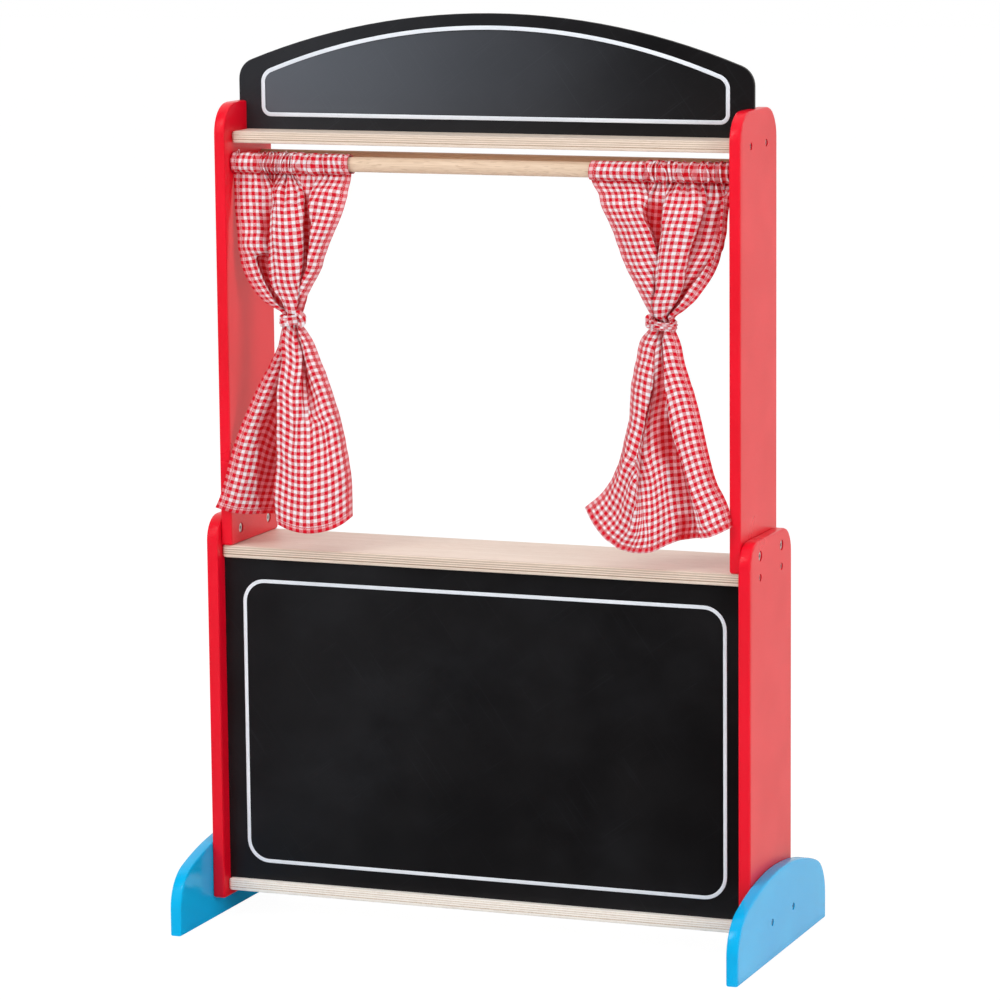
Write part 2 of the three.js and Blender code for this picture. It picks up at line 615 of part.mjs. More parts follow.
// The tie-back: an oval band round the waist of the cloth, with its knot on the side towards the stage
function tieBack(curtain) {
  const inner = curtain.waist / 2 + clothThickness / 2 + band.gap;
  const half = curtain.bandHeight / 2;
  const outer = inner + band.thickness;
  const section = [[inner, -half], [outer, -half * band.edgeShare], [outer, half * band.edgeShare],
    [inner, half], [inner, -half]];
  const points = section.map(([radius, height]) => new THREE.Vector2(radius, height));
  const ring = new THREE.LatheGeometry(points, bandSteps).rotateX(Math.PI / 2).scale(1, band.depthShare, 1);
  const knot = new THREE.SphereGeometry(curtain.knot, knotSteps, knotSteps)
    .scale(1, knotShares.depth, knotShares.height)
    .translate(-curtain.sign * (outer + curtain.knot / 2), -curtain.knot * knotShares.forward, 0);
  const mesh = piece(`${curtain.name}_tie_back`, joined([ring, knot]), gingham);
  const depth = -rodOffset - waistForwardShare * clothReach;
  mesh.position.set(fromPanel(curtain.sign, waistInset(curtain)), depth, waistHeight(curtain));
  return mesh;
}

function curtainPieces(curtain) {
  return [
    piece(`${curtain.name}_curtain_casing`, solidFrom(gatheredTube(curtain)), gingham),
    piece(`${curtain.name}_curtain_drop`, solidFrom(thickSheet(clothSurface(curtain))), gingham),
    tieBack(curtain),
  ];
}

// The whole stand
const lowerFrame = new THREE.Group();
const upperFrame = new THREE.Group();
const stage = new THREE.Group();
for (const side of sides) {
  lowerFrame.add(lowerPanel(side), foot(side));
  upperFrame.add(upperPanel(side), ...jointFasteners(side));
  upperFrame.add(...screws(side, 'top_shelf_screw', lowerInner, topScrewSpread, topScrewHeight));
  lowerFrame.add(...screws(side, 'counter_screw', lowerOuter, fastenerSpread, counterScrewHeight));
  lowerFrame.add(...screws(side, 'foot_screw', lowerOuter + footBoard, fastenerSpread, footScrewHeight));
}
lowerFrame.add(...shelves(), ...chalkboards());
stage.add(rod('front_curtain_rod', -rodOffset), rod('back_rod', rodOffset));
for (const curtain of curtains) stage.add(...curtainPieces(curtain));

const stand = new THREE.Group();
stand.add(lowerFrame, upperFrame, stage);
export default stand;
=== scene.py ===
"""Puppet theatre stand: painted side boards, plywood shelves, chalkboards and tied gingham curtains."""

import logging
import math
from collections.abc import Callable, Sequence
from dataclasses import dataclass, field, replace
from enum import Enum

import bpy
import numpy as np
from mathutils import Matrix, Vector


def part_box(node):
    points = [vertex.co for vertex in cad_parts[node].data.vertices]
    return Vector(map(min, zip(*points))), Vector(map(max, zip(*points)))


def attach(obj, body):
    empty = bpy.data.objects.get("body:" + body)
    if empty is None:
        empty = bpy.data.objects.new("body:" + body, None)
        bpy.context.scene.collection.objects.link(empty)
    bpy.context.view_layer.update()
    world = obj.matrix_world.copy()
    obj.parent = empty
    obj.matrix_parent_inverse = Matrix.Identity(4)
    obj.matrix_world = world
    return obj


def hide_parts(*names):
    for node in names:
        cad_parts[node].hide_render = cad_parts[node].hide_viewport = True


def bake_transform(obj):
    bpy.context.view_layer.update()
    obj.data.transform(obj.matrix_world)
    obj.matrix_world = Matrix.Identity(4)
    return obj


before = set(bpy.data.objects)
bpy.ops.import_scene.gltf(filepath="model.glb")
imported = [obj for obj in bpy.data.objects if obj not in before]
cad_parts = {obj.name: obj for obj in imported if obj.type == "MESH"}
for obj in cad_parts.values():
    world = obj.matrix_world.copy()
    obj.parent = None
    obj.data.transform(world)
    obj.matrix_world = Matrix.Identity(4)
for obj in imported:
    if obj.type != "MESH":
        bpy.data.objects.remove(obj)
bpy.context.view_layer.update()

WEAVE_MAP = "weave"
HEM_MAP = "hem"
# The cloth's map of painted shade in its folds, and of its place down from the casing's seam, in checks.
PAINTED_SHADE_AND_SEAM_MAP = "fold"
FAR_OFF = 9.0
MM = 0.001
LOG = logging.getLogger("puppet_stand")

Triple = tuple[float, float, float]
Colour = Triple
Piece = bpy.types.Object
Material = bpy.types.Material
NodeTree = bpy.types.NodeTree
Socket = bpy.types.NodeSocket
Sockets = dict[str, Socket]
Points = np.ndarray


class Side(Enum):
    """The two sides of the stand, as a spectator in front sees them."""

    LEFT = -1
    RIGHT = 1

    @property
    def word(self) -> str:
        """The side's word in the names of nodes and pieces."""
        return self.name.lower()


class Fastener(Enum):
    """The kinds of zinc fastener, by the words that end their nodes' names."""

    JOINT_BOLT = "joint_bolt"
    SLEEVE_NUT = "sleeve_nut"
    COUNTER_SCREW = "counter_screw"
    TOP_SHELF_SCREW = "top_shelf_screw"
    FOOT_SCREW = "foot_screw"


def smoothstep(value: Points | float, start: float, end: float) -> Points:
    """A soft step from 0 at start to 1 at end."""
    share = np.clip((np.asarray(value, float) - start) / (end - start), 0, 1)
    return share * share * (3 - 2 * share)


# Node trees

@dataclass
class Wiring:
    """Adds nodes to one tree and joins their sockets.

    Args:
        tree: the node tree that is wired.
    """

    tree: NodeTree

    @classmethod
    def emptied(cls, owner: bpy.types.ID) -> "Wiring":
        """The wiring of a material's or a world's own tree, with its first nodes taken out."""
        owner.use_nodes = True
        owner.node_tree.nodes.clear()
        return cls(owner.node_tree)

    def node(self, kind: str, inputs: dict | None = None, **settings: object) -> bpy.types.Node:
        """Add a node, with its settings and its inputs.

        Args:
            kind: the node's type name, without the ShaderNode that it starts with.
            inputs: values or sockets by input name or number.
            **settings: the node's own properties.

        Returns:
            The new node.
        """
        prefix = "" if kind.startswith(("Node", "Function", "GeometryNode")) else "ShaderNode"
        made = self.tree.nodes.new(prefix + kind)
        for key, value in settings.items():
            setattr(made, key, value)
        for key, value in (inputs or {}).items():
            self.feed(made.inputs[key], value)
        return made

    def feed(self, target: Socket, value: object) -> None:
        """Link a socket to target, or set target's own value."""
        if isinstance(value, Socket):
            self.tree.links.new(value, target)
            return
        if isinstance(value, tuple) and len(value) == 3 and target.type == "RGBA":
            value = (*value, 1.0)
        target.default_value = value

    def group(self, group: NodeTree, inputs: dict[str, object]) -> Sockets:
        """Place a shader group.

        Args:
            group: the shared group.
            inputs: the values and sockets that it gets here.

        Returns:
            The group's outputs by name.
        """
        placed = self.node("Group", node_tree=group)
        for key, value in inputs.items():
            self.feed(placed.inputs[key], value)
        return {socket.name: socket for socket in placed.outputs}

    def parts(self, vector: Socket) -> Sequence[Socket]:
        """The X, Y and Z of a vector."""
        return self.node("SeparateXYZ", {0: vector}).outputs

    def flat_place(self, name: str) -> Socket:
        """The flat places that a map of the mesh holds."""
        return self.node("UVMap", uv_map=name).outputs[0]

    def math(self, operation: str, first: object, second: object = 0.0, third: object = 0.0) -> Socket:
        """The value of a Math node.

        Args:
            operation: the node's operation.
            first: the first value or socket.
            second: the second value or socket.
            third: the third value or socket.

        Returns:
            The node's output.
        """
        made = self.node("Math", {0: first, 1: second, 2: third}, operation=operation)
        return made.outputs[0]

    def times(self, first: object, second: object) -> Socket:
        """The first value multiplied by the second."""
        return self.math("MULTIPLY", first, second)

    def times_plus(self, first: object, second: object, third: object) -> Socket:
        """The first value multiplied by the second, plus the third."""
        return self.math("MULTIPLY_ADD", first, second, third)

    def minus(self, first: object, second: object) -> Socket:
        """The first value less the second."""
        return self.math("SUBTRACT", first, second)

    def mix(self, share: object, first: object, second: object, blend: str = "MIX") -> Socket:
        """Mix two colours.

        Args:
            share: how much of the second colour there is.
            first: the first colour or socket.
            second: the second colour or socket.
            blend: the way in which they mix.

        Returns:
            The mixed colour.
        """
        made = self.node("Mix", data_type="RGBA", blend_type=blend)
        for number, value in ((0, share), (6, first), (7, second)):
            self.feed(made.inputs[number], value)
        return made.outputs[2]

    def spread(self, value: Socket, low: float, high: float, to_low: float = 0.0,
               to_high: float = 1.0) -> Socket:
        """Spread the values between low and high over another range, with soft ends.

        Args:
            value: the socket that is spread.
            low: the value that becomes to_low.
            high: the value that becomes to_high.
            to_low: the lower end of the result.
            to_high: the upper end of the result.

        Returns:
            The spread value.
        """
        inputs = {0: value, 1: low, 2: high, 3: to_low, 4: to_high}
        return self.node("MapRange", inputs, interpolation_type="SMOOTHSTEP").outputs[0]

    def noise(self, place: Socket, scale: float, detail: float = 3.0, roughness: float = 0.5) -> Socket:
        """The value of a noise.

        Args:
            place: where it is read.
            scale: how many of its lumps there are in a metre.
            detail: how many finer noises are on it.
            roughness: how strong the finer noises are.

        Returns:
            A value about 0.5.
        """
        inputs = {"Vector": place, "Scale": scale, "Detail": detail, "Roughness": roughness}
        return self.node("TexNoise", inputs).outputs[0]

    def streaks(self, place: Socket, scales: Triple, detail: float, roughness: float = 0.5) -> Socket:
        """The value of a noise with its own number of lumps in a metre along each axis."""
        stretched = self.node("VectorMath", {0: place, 1: scales}, operation="MULTIPLY").outputs[0]
        return self.noise(stretched, 1.0, detail, roughness)

    def bump(self, height: Socket, distance: float) -> Socket:
        """The normal of a surface that stands out by distance where the height is 1."""
        return self.node("Bump", {"Height": height, "Distance": distance, "Strength": 1.0}).outputs[0]


def shader_group(name: str, inputs: dict[str, object], outputs: dict[str, str],
                 fill: Callable[[Wiring, Sockets], Sockets]) -> NodeTree:
    """Build a shader node group once.

    Args:
        name: the group's name.
        inputs: default values by input name: a number, a colour of four or a vector of three.
        outputs: socket types by output name.
        fill: makes the nodes from the input sockets and gives the output sockets by name.

    Returns:
        The group's node tree.
    """
    tree = bpy.data.node_groups.new(name, "ShaderNodeTree")
    for key, default in inputs.items():
        if isinstance(default, tuple):
            kind = "NodeSocketColor" if len(default) == 4 else "NodeSocketVector"
        else:
            kind = "NodeSocketFloat"
        tree.interface.new_socket(key, in_out="INPUT", socket_type=kind).default_value = default
    for key, kind in outputs.items():
        tree.interface.new_socket(key, in_out="OUTPUT", socket_type=kind)
    wiring = Wiring(tree)
    entry = wiring.node("NodeGroupInput")
    made = fill(wiring, {socket.name: socket for socket in entry.outputs if socket.name})
    wiring.node("NodeGroupOutput", made)
    return tree


def fill_uneven_film(w: Wiring, given: Sockets) -> Sockets:
    """Fill the group for the soft waviness of a sprayed or brushed film.

    Args:
        w: the group's wiring.
        given: the group's inputs.

    Returns:
        The group's outputs.
    """
    cloud = w.noise(given["Place"], 9.0, 2.0)
    peel = w.noise(given["Place"], 420.0, 1.0)
    speck = w.spread(w.noise(given["Place"], 1500.0, 0.0), 0.70, 0.78)
    tone = w.times(w.spread(cloud, 0.3, 0.7), given["Tone share"])
    return {
        "Colour": w.mix(tone, given["Colour"], given["Second colour"]),
        "Roughness": w.times_plus(w.minus(cloud, 0.5), given["Gloss change"], given["Roughness"]),
        "Height": w.times_plus(speck, 0.6, peel),
    }


def fill_wood_grain(w: Wiring, given: Sockets) -> Sockets:
    """Fill the group for pale wood whose grain runs along X.

    Args:
        w: the group's wiring.
        given: the group's inputs.

    Returns:
        The group's outputs.
    """
    bend = w.streaks(given["Place"], (2.2, 9.0, 9.0), 2.0)
    offset = w.node("CombineXYZ", {1: w.times(bend, 0.05), 2: w.times(bend, 0.03)}).outputs[0]
    place = w.node("VectorMath", {0: given["Place"], 1: offset}, operation="ADD").outputs[0]
    figure = w.streaks(place, (1.6, 60.0, 60.0), 3.0, 0.6)
    fibre = w.streaks(place, (14.0, 950.0, 950.0), 2.0, 0.6)
    fleck = w.spread(w.streaks(place, (70.0, 900.0, 900.0), 0.0), 0.64, 0.74)
    tone = w.times_plus(w.spread(fibre, 0.3, 0.75), 0.45, w.times(figure, 0.75))
    base = w.mix(w.times(tone, given["Contrast"]), given["Light"], given["Dark"])
    colour = w.mix(w.times(fleck, given["Fleck share"]), base, given["Fleck colour"])
    return {"Colour": colour, "Height": w.minus(fibre, w.times(fleck, 0.5)), "Figure": figure}


def fill_fine_wear(w: Wiring, given: Sockets) -> Sockets:
    """Fill the group for hair scratches, rubbed clouds and specks of dust.

    Args:
        w: the group's wiring.
        given: the group's inputs.

    Returns:
        The group's outputs.
    """
    cloud = w.streaks(given["Place"], (5.0, 5.0, 7.0), 4.0, 0.6)
    rubbed = w.spread(cloud, 0.42, 0.8)
    speck = w.spread(w.noise(given["Place"], 1300.0, 0.0), 0.715, 0.77)
    hairs = []
    for turn, scales, least, most in ((0.62, (700.0, 700.0, 7.0), 0.735, 0.78),
                                      (-0.95, (900.0, 900.0, 11.0), 0.75, 0.79)):
        turned = w.node("Mapping", {0: given["Place"], 2: (0.0, turn, 0.0)}).outputs[0]
        hairs.append(w.spread(w.streaks(turned, scales, 0.0), least, most))
    scratch = w.math("MAXIMUM", *hairs)
    dust = w.times_plus(speck, 0.35, w.times(rubbed, 0.5))
    mask = w.times(w.math("ADD", dust, w.times(scratch, 0.4)), given["Amount"])
    return {"Mask": mask, "Height": w.times(scratch, -1.0), "Cloud": cloud}


def fill_ply_layers(w: Wiring, given: Sockets) -> Sockets:
    """Fill the group for the plies on the edge of a level board.

    Args:
        w: the group's wiring.
        given: the group's inputs.

    Returns:
        The group's outputs: a mask of the cross plies, a mask of the glue lines and a shade of each ply.
    """
    wobble = w.streaks(given["Place"], (3.0, 3.0, 0.0), 2.0)
    rise = w.times_plus(w.minus(wobble, 0.5), 0.0012, w.parts(given["Place"])[2])
    height = w.math("DIVIDE", w.minus(rise, given["Underside"]), given["Thickness"])
    ply = w.times(height, given["Plies"])
    number = w.math("FLOOR", ply)
    edge = w.math("ABSOLUTE", w.minus(w.math("FRACT", ply), 0.5))
    shade = w.node("TexWhiteNoise", {"W": number}, noise_dimensions="1D").outputs[0]
    return {"Cross ply": w.math("PINGPONG", number, 1.0), "Glue line": w.spread(edge, 0.36, 0.5),
            "Ply shade": shade}


def fill_woven_checks(w: Wiring, given: Sockets) -> Sockets:
    """Fill the group for a plain weave of dyed and white threads in even checks.

    Args:
        w: the group's wiring.
        given: the group's inputs: the place is in checks along and across the cloth.

    Returns:
        The group's outputs.
    """
    parts = w.parts(given["Place"])
    dyed = []
    half = []
    for number in (0, 1):
        drift = w.noise(given["Place"], 1.3 + number, 1.0)
        place = w.times_plus(drift, 0.12, parts[number])
        dyed.append(w.spread(w.math("SINE", w.times(place, 2 * math.pi)), -0.20, 0.16))
        thread = w.times(parts[number], given["Threads"])
        half.append(w.math("SINE", w.times(thread, math.pi)))
    over = w.spread(w.times(half[0], half[1]), -0.25, 0.25)
    slub = w.streaks(given["Place"], (3.0, 16.0, 1.0), 1.0)
    raised = w.times_plus(w.minus(over, 0.5), given["Thread contrast"], 0.5)
    top = w.math("ADD", raised, w.times(w.minus(slub, 0.5), 0.5))
    kept = w.times(dyed[0], w.minus(1.0, top))
    crossed = w.times_plus(dyed[1], top, kept)
    share = w.math("POWER", w.math("MAXIMUM", crossed, 0.0), given["Thinness"])
    dye = w.mix(w.noise(given["Place"], 0.9, 2.0), given["Dye"], given["Deep dye"])
    height = w.mix(over, *(w.math("ABSOLUTE", wave) for wave in half))
    return {"Colour": w.mix(share, given["White"], dye), "Height": w.node("RGBToBW", {0: height}).outputs[0]}


def fill_sewn_hem(w: Wiring, given: Sockets) -> Sockets:
    """Fill the group for a narrow hem: two layers of cloth up to a row of stitches.

    Args:
        w: the group's wiring.
        given: the group's inputs: the place is in hem widths from the side and from the bottom.

    Returns:
        The group's outputs.
    """
    parts = w.parts(given["Place"])
    nearest = w.math("MINIMUM", parts[0], parts[1])
    wobble = w.times_plus(w.noise(given["Place"], 1.7, 1.0), 0.16, nearest)
    groove = w.spread(w.math("ABSOLUTE", w.minus(wobble, 0.98)), 0.15, 0.04)
    run = w.math("ADD", parts[0], parts[1])
    dash = w.spread(w.math("SINE", w.times(run, 17.0)), -0.2, 0.3)
    return {"Doubled": w.spread(wobble, 1.12, 1.02), "Groove": groove, "Stitch": w.times(groove, dash)}


@dataclass
class ShaderGroups:
    """The shader groups that the finishes share."""

    film: NodeTree = field(init=False)
    grain: NodeTree = field(init=False)
    wear: NodeTree = field(init=False)
    plies: NodeTree = field(init=False)
    checks: NodeTree = field(init=False)
    hem: NodeTree = field(init=False)

    def __post_init__(self) -> None:
        """Build each group once."""
        grey = (0.5, 0.5, 0.5, 1.0)
        nowhere = (0.0, 0.0, 0.0)
        shade = "NodeSocketColor"
        number = "NodeSocketFloat"
        self.film = shader_group(
            "Uneven film",
            {"Place": nowhere, "Colour": grey, "Second colour": grey, "Tone share": 0.5,
             "Roughness": 0.4, "Gloss change": 0.1},
            {"Colour": shade, "Roughness": number, "Height": number}, fill_uneven_film)
        self.grain = shader_group(
            "Pale wood grain",
            {"Place": nowhere, "Light": grey, "Dark": grey, "Fleck colour": grey, "Contrast": 1.0,
             "Fleck share": 0.3},
            {"Colour": shade, "Height": number, "Figure": number}, fill_wood_grain)
        self.wear = shader_group(
            "Fine wear", {"Place": nowhere, "Amount": 1.0},
            {"Mask": number, "Height": number, "Cloud": number}, fill_fine_wear)
        self.plies = shader_group(
            "Ply layers", {"Place": nowhere, "Underside": 0.0, "Thickness": 0.015, "Plies": 11.0},
            {"Cross ply": number, "Glue line": number, "Ply shade": number}, fill_ply_layers)
        self.checks = shader_group(
            "Woven checks",
            {"Place": nowhere, "White": grey, "Dye": grey, "Deep dye": grey, "Threads": 16.0,
             "Thread contrast": 0.7, "Thinness": 0.62},
            {"Colour": shade, "Height": number}, fill_woven_checks)
        self.hem = shader_group(
            "Sewn hem", {"Place": nowhere},
            {"Doubled": number, "Groove": number, "Stitch": number}, fill_sewn_hem)


# Finishes

@dataclass(frozen=True)
class Finish:
    """What all finishes share: a material with one shader.

    Args:
        name: the material's name.
    """

    name: str

    def make(self, groups: ShaderGroups) -> Material:
        """Build the material.

        Args:
            groups: the shared shader groups.

        Returns:
            The material.
        """
        material = bpy.data.materials.new(self.name)
        w = Wiring.emptied(material)
        place = w.node("TexCoord").outputs["Object"]
        shader = w.node("BsdfPrincipled", self.surface(w, groups, place))
        w.node("OutputMaterial", {"Surface": shader.outputs[0]})
        return material

    def surface(self, w: Wiring, groups: ShaderGroups, place: Socket) -> dict[str, object]:
        """Make what feeds the material's shader.

        Args:
            w: the material's wiring.
            groups: the shared shader groups.
            place: the object's own coordinates.

        Returns:
            The shader's inputs by name.
        """
        raise NotImplementedError


@dataclass(frozen=True, kw_only=True)
class Film(Finish):
    """A thin uneven film with fine wear, such as paint or plating.

    Args:
        colour: its colour.
        second: the colour of its thicker places.
        tone_share: how much of the second colour shows.
        roughness: how dull it is.
        gloss_change: how much its dullness varies.
        wear: how strong its scratches and rubbed clouds are.
        worn: their colour.
        peel: how high its unevenness stands, in metres.
        mirroring: how strongly it mirrors what it faces, where 0.5 is usual.
        metallic: 1 for a metal, or 0.
    """

    colour: Colour
    second: Colour
    tone_share: float
    roughness: float
    gloss_change: float
    wear: float
    worn: Colour
    peel: float
    mirroring: float = 0.5
    metallic: float = 0.0

    def layers(self, w: Wiring, groups: ShaderGroups, place: Socket) -> tuple[Sockets, Sockets]:
        """Place the film and its wear.

        Args:
            w: the material's wiring.
            groups: the shared shader groups.
            place: the object's own coordinates.

        Returns:
            The outputs of the film's group and of the wear's group.
        """
        film = w.group(groups.film, {
            "Place": place, "Colour": self.colour, "Second colour": self.second,
            "Tone share": self.tone_share, "Roughness": self.roughness, "Gloss change": self.gloss_change})
        return film, w.group(groups.wear, {"Place": place, "Amount": self.wear})

    def surface(self, w: Wiring, groups: ShaderGroups, place: Socket) -> dict[str, object]:
        """The shader's inputs, as Finish.surface says."""
        film, wear = self.layers(w, groups, place)
        return {
            "Base Color": w.mix(wear["Mask"], film["Colour"], self.worn),
            "Roughness": film["Roughness"],
            "Normal": w.bump(film["Height"], self.peel),
            "Specular IOR Level": self.mirroring,
            "Metallic": self.metallic,
        }


@dataclass(frozen=True, kw_only=True)
class SatinPaint(Film):
    """Sprayed satin paint on board, with a faint orange peel."""

    tone_share: float = 0.8
    roughness: float = 0.30
    gloss_change: float = 0.12
    wear: float = 0.007
    worn: Colour = (0.9, 0.85, 0.85)
    peel: float = 0.00005
    mirroring: float = 0.34


@dataclass(frozen=True, kw_only=True)
class LinePaint(Film):
    """The painted border of the boards: a thin white bead with streaks along it."""

    colour: Colour = (0.80, 0.83, 0.88)
    second: Colour = (0.66, 0.70, 0.76)
    tone_share: float = 0.7
    roughness: float = 0.45
    gloss_change: float = 0.15
    wear: float = 0.35
    worn: Colour = (0.45, 0.46, 0.5)
    peel: float = 0.00008


@dataclass(frozen=True, kw_only=True)
class ZincPlate(Film):
    """Bright zinc plate on small steel fasteners."""

    colour: Colour = (0.84, 0.88, 0.89)
    second: Colour = (0.66, 0.71, 0.74)
    tone_share: float = 0.8
    roughness: float = 0.42
    gloss_change: float = 0.2
    wear: float = 0.6
    worn: Colour = (0.2, 0.21, 0.22)
    peel: float = 0.00004
    metallic: float = 1.0


@dataclass(frozen=True, kw_only=True)
class SewingThread(Film):
    """Loose pinkish cotton thread with a twist, and no wear."""

    colour: Colour = (0.72, 0.45, 0.46)
    second: Colour = (0.86, 0.7, 0.7)
    tone_share: float = 1.0
    roughness: float = 0.8
    gloss_change: float = 0.1
    wear: float = 0.0
    worn: Colour = (0.5, 0.5, 0.5)
    peel: float = 0.00005


@dataclass(frozen=True, kw_only=True)
class Blackboard(Film):
    """Matt blackboard paint with chalk dust, hair scratches and a painted sheen that fades from its left end.

    Args:
        haze: how much chalk dust and painted sheen lie at its left end.
        bottom: the height of the painted line's inner bottom.
        arc: the inner radius of the painted line's top, or a large one where its top is straight.
        arc_middle: the height of the arc's middle.
        half_width: half of the painted line's inner width.
        rim_haze: how much of them lies outside the line.
        haze_end: how far they run to each side, in metres.
        haze_drift: how far its clouds move them, in metres.
        scratch_share: how deep its scratches are, against its peel.
        blur: how far the dust and sheen fade at the line and at the board's front, outwards and inwards.
    """

    colour: Colour = (0.0050, 0.0043, 0.0050)
    second: Colour = (0.008, 0.0072, 0.008)
    tone_share: float = 1.0
    roughness: float = 0.50
    gloss_change: float = 0.10
    # The chalk dust's colour, which is also that of the painted sheen towards the left end.
    worn: Colour = (0.30, 0.335, 0.40)
    peel: float = 0.00005
    mirroring: float = 0.30
    haze: float
    bottom: float
    arc: float
    arc_middle: float = 0.2968
    half_width: float = 0.2905
    rim_haze: float = 0.16
    haze_end: float = 0.36
    haze_drift: float = 0.12
    scratch_share: float = 0.5
    blur: tuple[float, float] = (0.0010, 0.0015)

    def surface(self, w: Wiring, groups: ShaderGroups, place: Socket) -> dict[str, object]:
        """The shader's inputs, as Finish.surface says."""
        film, wear = self.layers(w, groups, place)
        # Chalk dust and painted sheen, strongest at the left end and fading to the right.
        across = w.times_plus(wear["Cloud"], self.haze_drift, w.parts(place)[0])
        left = w.spread(across, self.haze_end, -self.haze_end, 0.0, self.haze)
        dust_and_sheen_coloured = w.mix(w.times(left, self.inside(w, place)), film["Colour"], self.worn)
        height = w.times_plus(wear["Height"], self.scratch_share, film["Height"])
        return {
            "Base Color": w.mix(wear["Mask"], dust_and_sheen_coloured, self.worn),
            "Roughness": film["Roughness"],
            "Normal": w.bump(height, self.peel),
            "Specular IOR Level": self.mirroring,
        }

    def inside(self, w: Wiring, place: Socket) -> Socket:
        """Find where the dust and painted sheen lie: fully inside the painted line, and less outside it.

        Args:
            w: the material's wiring.
            place: the object's own coordinates.

        Returns:
            The share of the dust and sheen, from 0 to 1.
        """
        out, back = self.blur
        x, y, z = w.parts(place)
        across = w.math("ABSOLUTE", x)
        sides = w.spread(across, self.half_width + out, self.half_width - back)
        above = w.spread(z, self.bottom - out, self.bottom + back)
        rise = w.minus(z, self.arc_middle)
        reach = w.math("SQRT", w.times_plus(rise, rise, w.times(across, across)))
        below = w.spread(reach, self.arc + out, self.arc - back)
        front = w.spread(y, out, -out)
        within = w.times(sides, w.times(above, below))
        return w.times(front, w.spread(within, 0.0, 1.0, self.rim_haze, 1.0))


@dataclass(frozen=True, kw_only=True)
class Wood(Finish):
    """Clear-coated pale wood with its grain along X.

    Args:
        light: the lighter wood.
        dark: the darker wood of the figure.
        fleck: the colour of the short flecks.
        contrast: how much of the darker wood shows.
        fleck_share: how strong the flecks are.
        dullness: the roughness of the smoothest and of the roughest places.
        relief: how high the grain stands, in metres.
    """

    light: Colour
    dark: Colour
    fleck: Colour
    contrast: float
    fleck_share: float
    dullness: tuple[float, float]
    relief: float

    def grain(self, w: Wiring, groups: ShaderGroups, place: Socket) -> Sockets:
        """Place the grain.

        Args:
            w: the material's wiring.
            groups: the shared shader groups.
            place: the object's own coordinates.

        Returns:
            The outputs of the grain's group, and the roughness.
        """
        made = w.group(groups.grain, {
            "Place": place, "Light": self.light, "Dark": self.dark, "Fleck colour": self.fleck,
            "Contrast": self.contrast, "Fleck share": self.fleck_share})
        made["Roughness"] = w.spread(made["Figure"], 0.2, 0.8, *self.dullness)
        return made


@dataclass(frozen=True, kw_only=True)
class BeechRod(Wood):
    """A turned beech dowel with long grain and short dark flecks."""

    light: Colour = (0.83, 0.65, 0.495)
    dark: Colour = (0.57, 0.385, 0.25)
    fleck: Colour = (0.36, 0.2, 0.11)
    contrast: float = 0.8
    fleck_share: float = 0.4
    dullness: tuple[float, float] = (0.42, 0.56)
    relief: float = 0.00008

    def surface(self, w: Wiring, groups: ShaderGroups, place: Socket) -> dict[str, object]:
        """The shader's inputs, as Finish.surface says."""
        grain = self.grain(w, groups, place)
        return {"Base Color": grain["Colour"], "Roughness": grain["Roughness"],
                "Normal": w.bump(grain["Height"], self.relief)}


@dataclass(frozen=True, kw_only=True)
class BirchPly(Wood):
    """Lacquered birch plywood: pale faces with long grain, and layers on the rounded edges.

    Args:
        underside: the height of the board's underside, in metres.
        thickness: the board's thickness, in metres.
        cross: the end grain of the cross plies.
        pores: the pores in the end grain.
        glue: the thin line between two plies.
        sunk: how far the cross plies lie back, against the grain's relief.
    """

    light: Colour = (0.87, 0.745, 0.64)
    dark: Colour = (0.66, 0.505, 0.40)
    fleck: Colour = (0.42, 0.27, 0.16)
    contrast: float = 0.55
    fleck_share: float = 0.18
    dullness: tuple[float, float] = (0.40, 0.52)
    relief: float = 0.00006
    underside: float
    thickness: float
    cross: Colour = (0.50, 0.365, 0.265)
    pores: Colour = (0.28, 0.17, 0.09)
    glue: Colour = (0.30, 0.19, 0.12)
    sunk: float = 0.5

    def surface(self, w: Wiring, groups: ShaderGroups, place: Socket) -> dict[str, object]:
        """The shader's inputs, as Finish.surface says."""
        grain = self.grain(w, groups, place)
        plies = w.group(groups.plies, {
            "Place": place, "Underside": self.underside, "Thickness": self.thickness})
        stipple = w.spread(w.streaks(place, (900.0, 900.0, 260.0), 1.0), 0.35, 0.72)
        crossed = w.mix(w.times(stipple, 0.35), self.cross, self.pores)
        shade = w.spread(plies["Ply shade"], 0.2, 0.8, 0.08, 1.0)
        layered = w.mix(w.times(plies["Cross ply"], shade), grain["Colour"], crossed)
        glued = w.mix(w.times(plies["Glue line"], w.times(shade, 0.75)), layered, self.glue)
        height = w.times_plus(plies["Cross ply"], -self.sunk, grain["Height"])
        return {"Base Color": w.mix(self.edge_mask(w), grain["Colour"], glued),
                "Roughness": grain["Roughness"], "Normal": w.bump(height, self.relief)}

    @staticmethod
    def edge_mask(w: Wiring) -> Socket:
        """Where the board's surface isn't level, so that its layers show."""
        normal = w.node("NewGeometry").outputs["Normal"]
        own = w.node("VectorTransform", {0: normal}, vector_type="NORMAL", convert_from="WORLD",
                     convert_to="OBJECT").outputs[0]
        return w.spread(w.math("ABSOLUTE", w.parts(own)[2]), 0.995, 0.96)


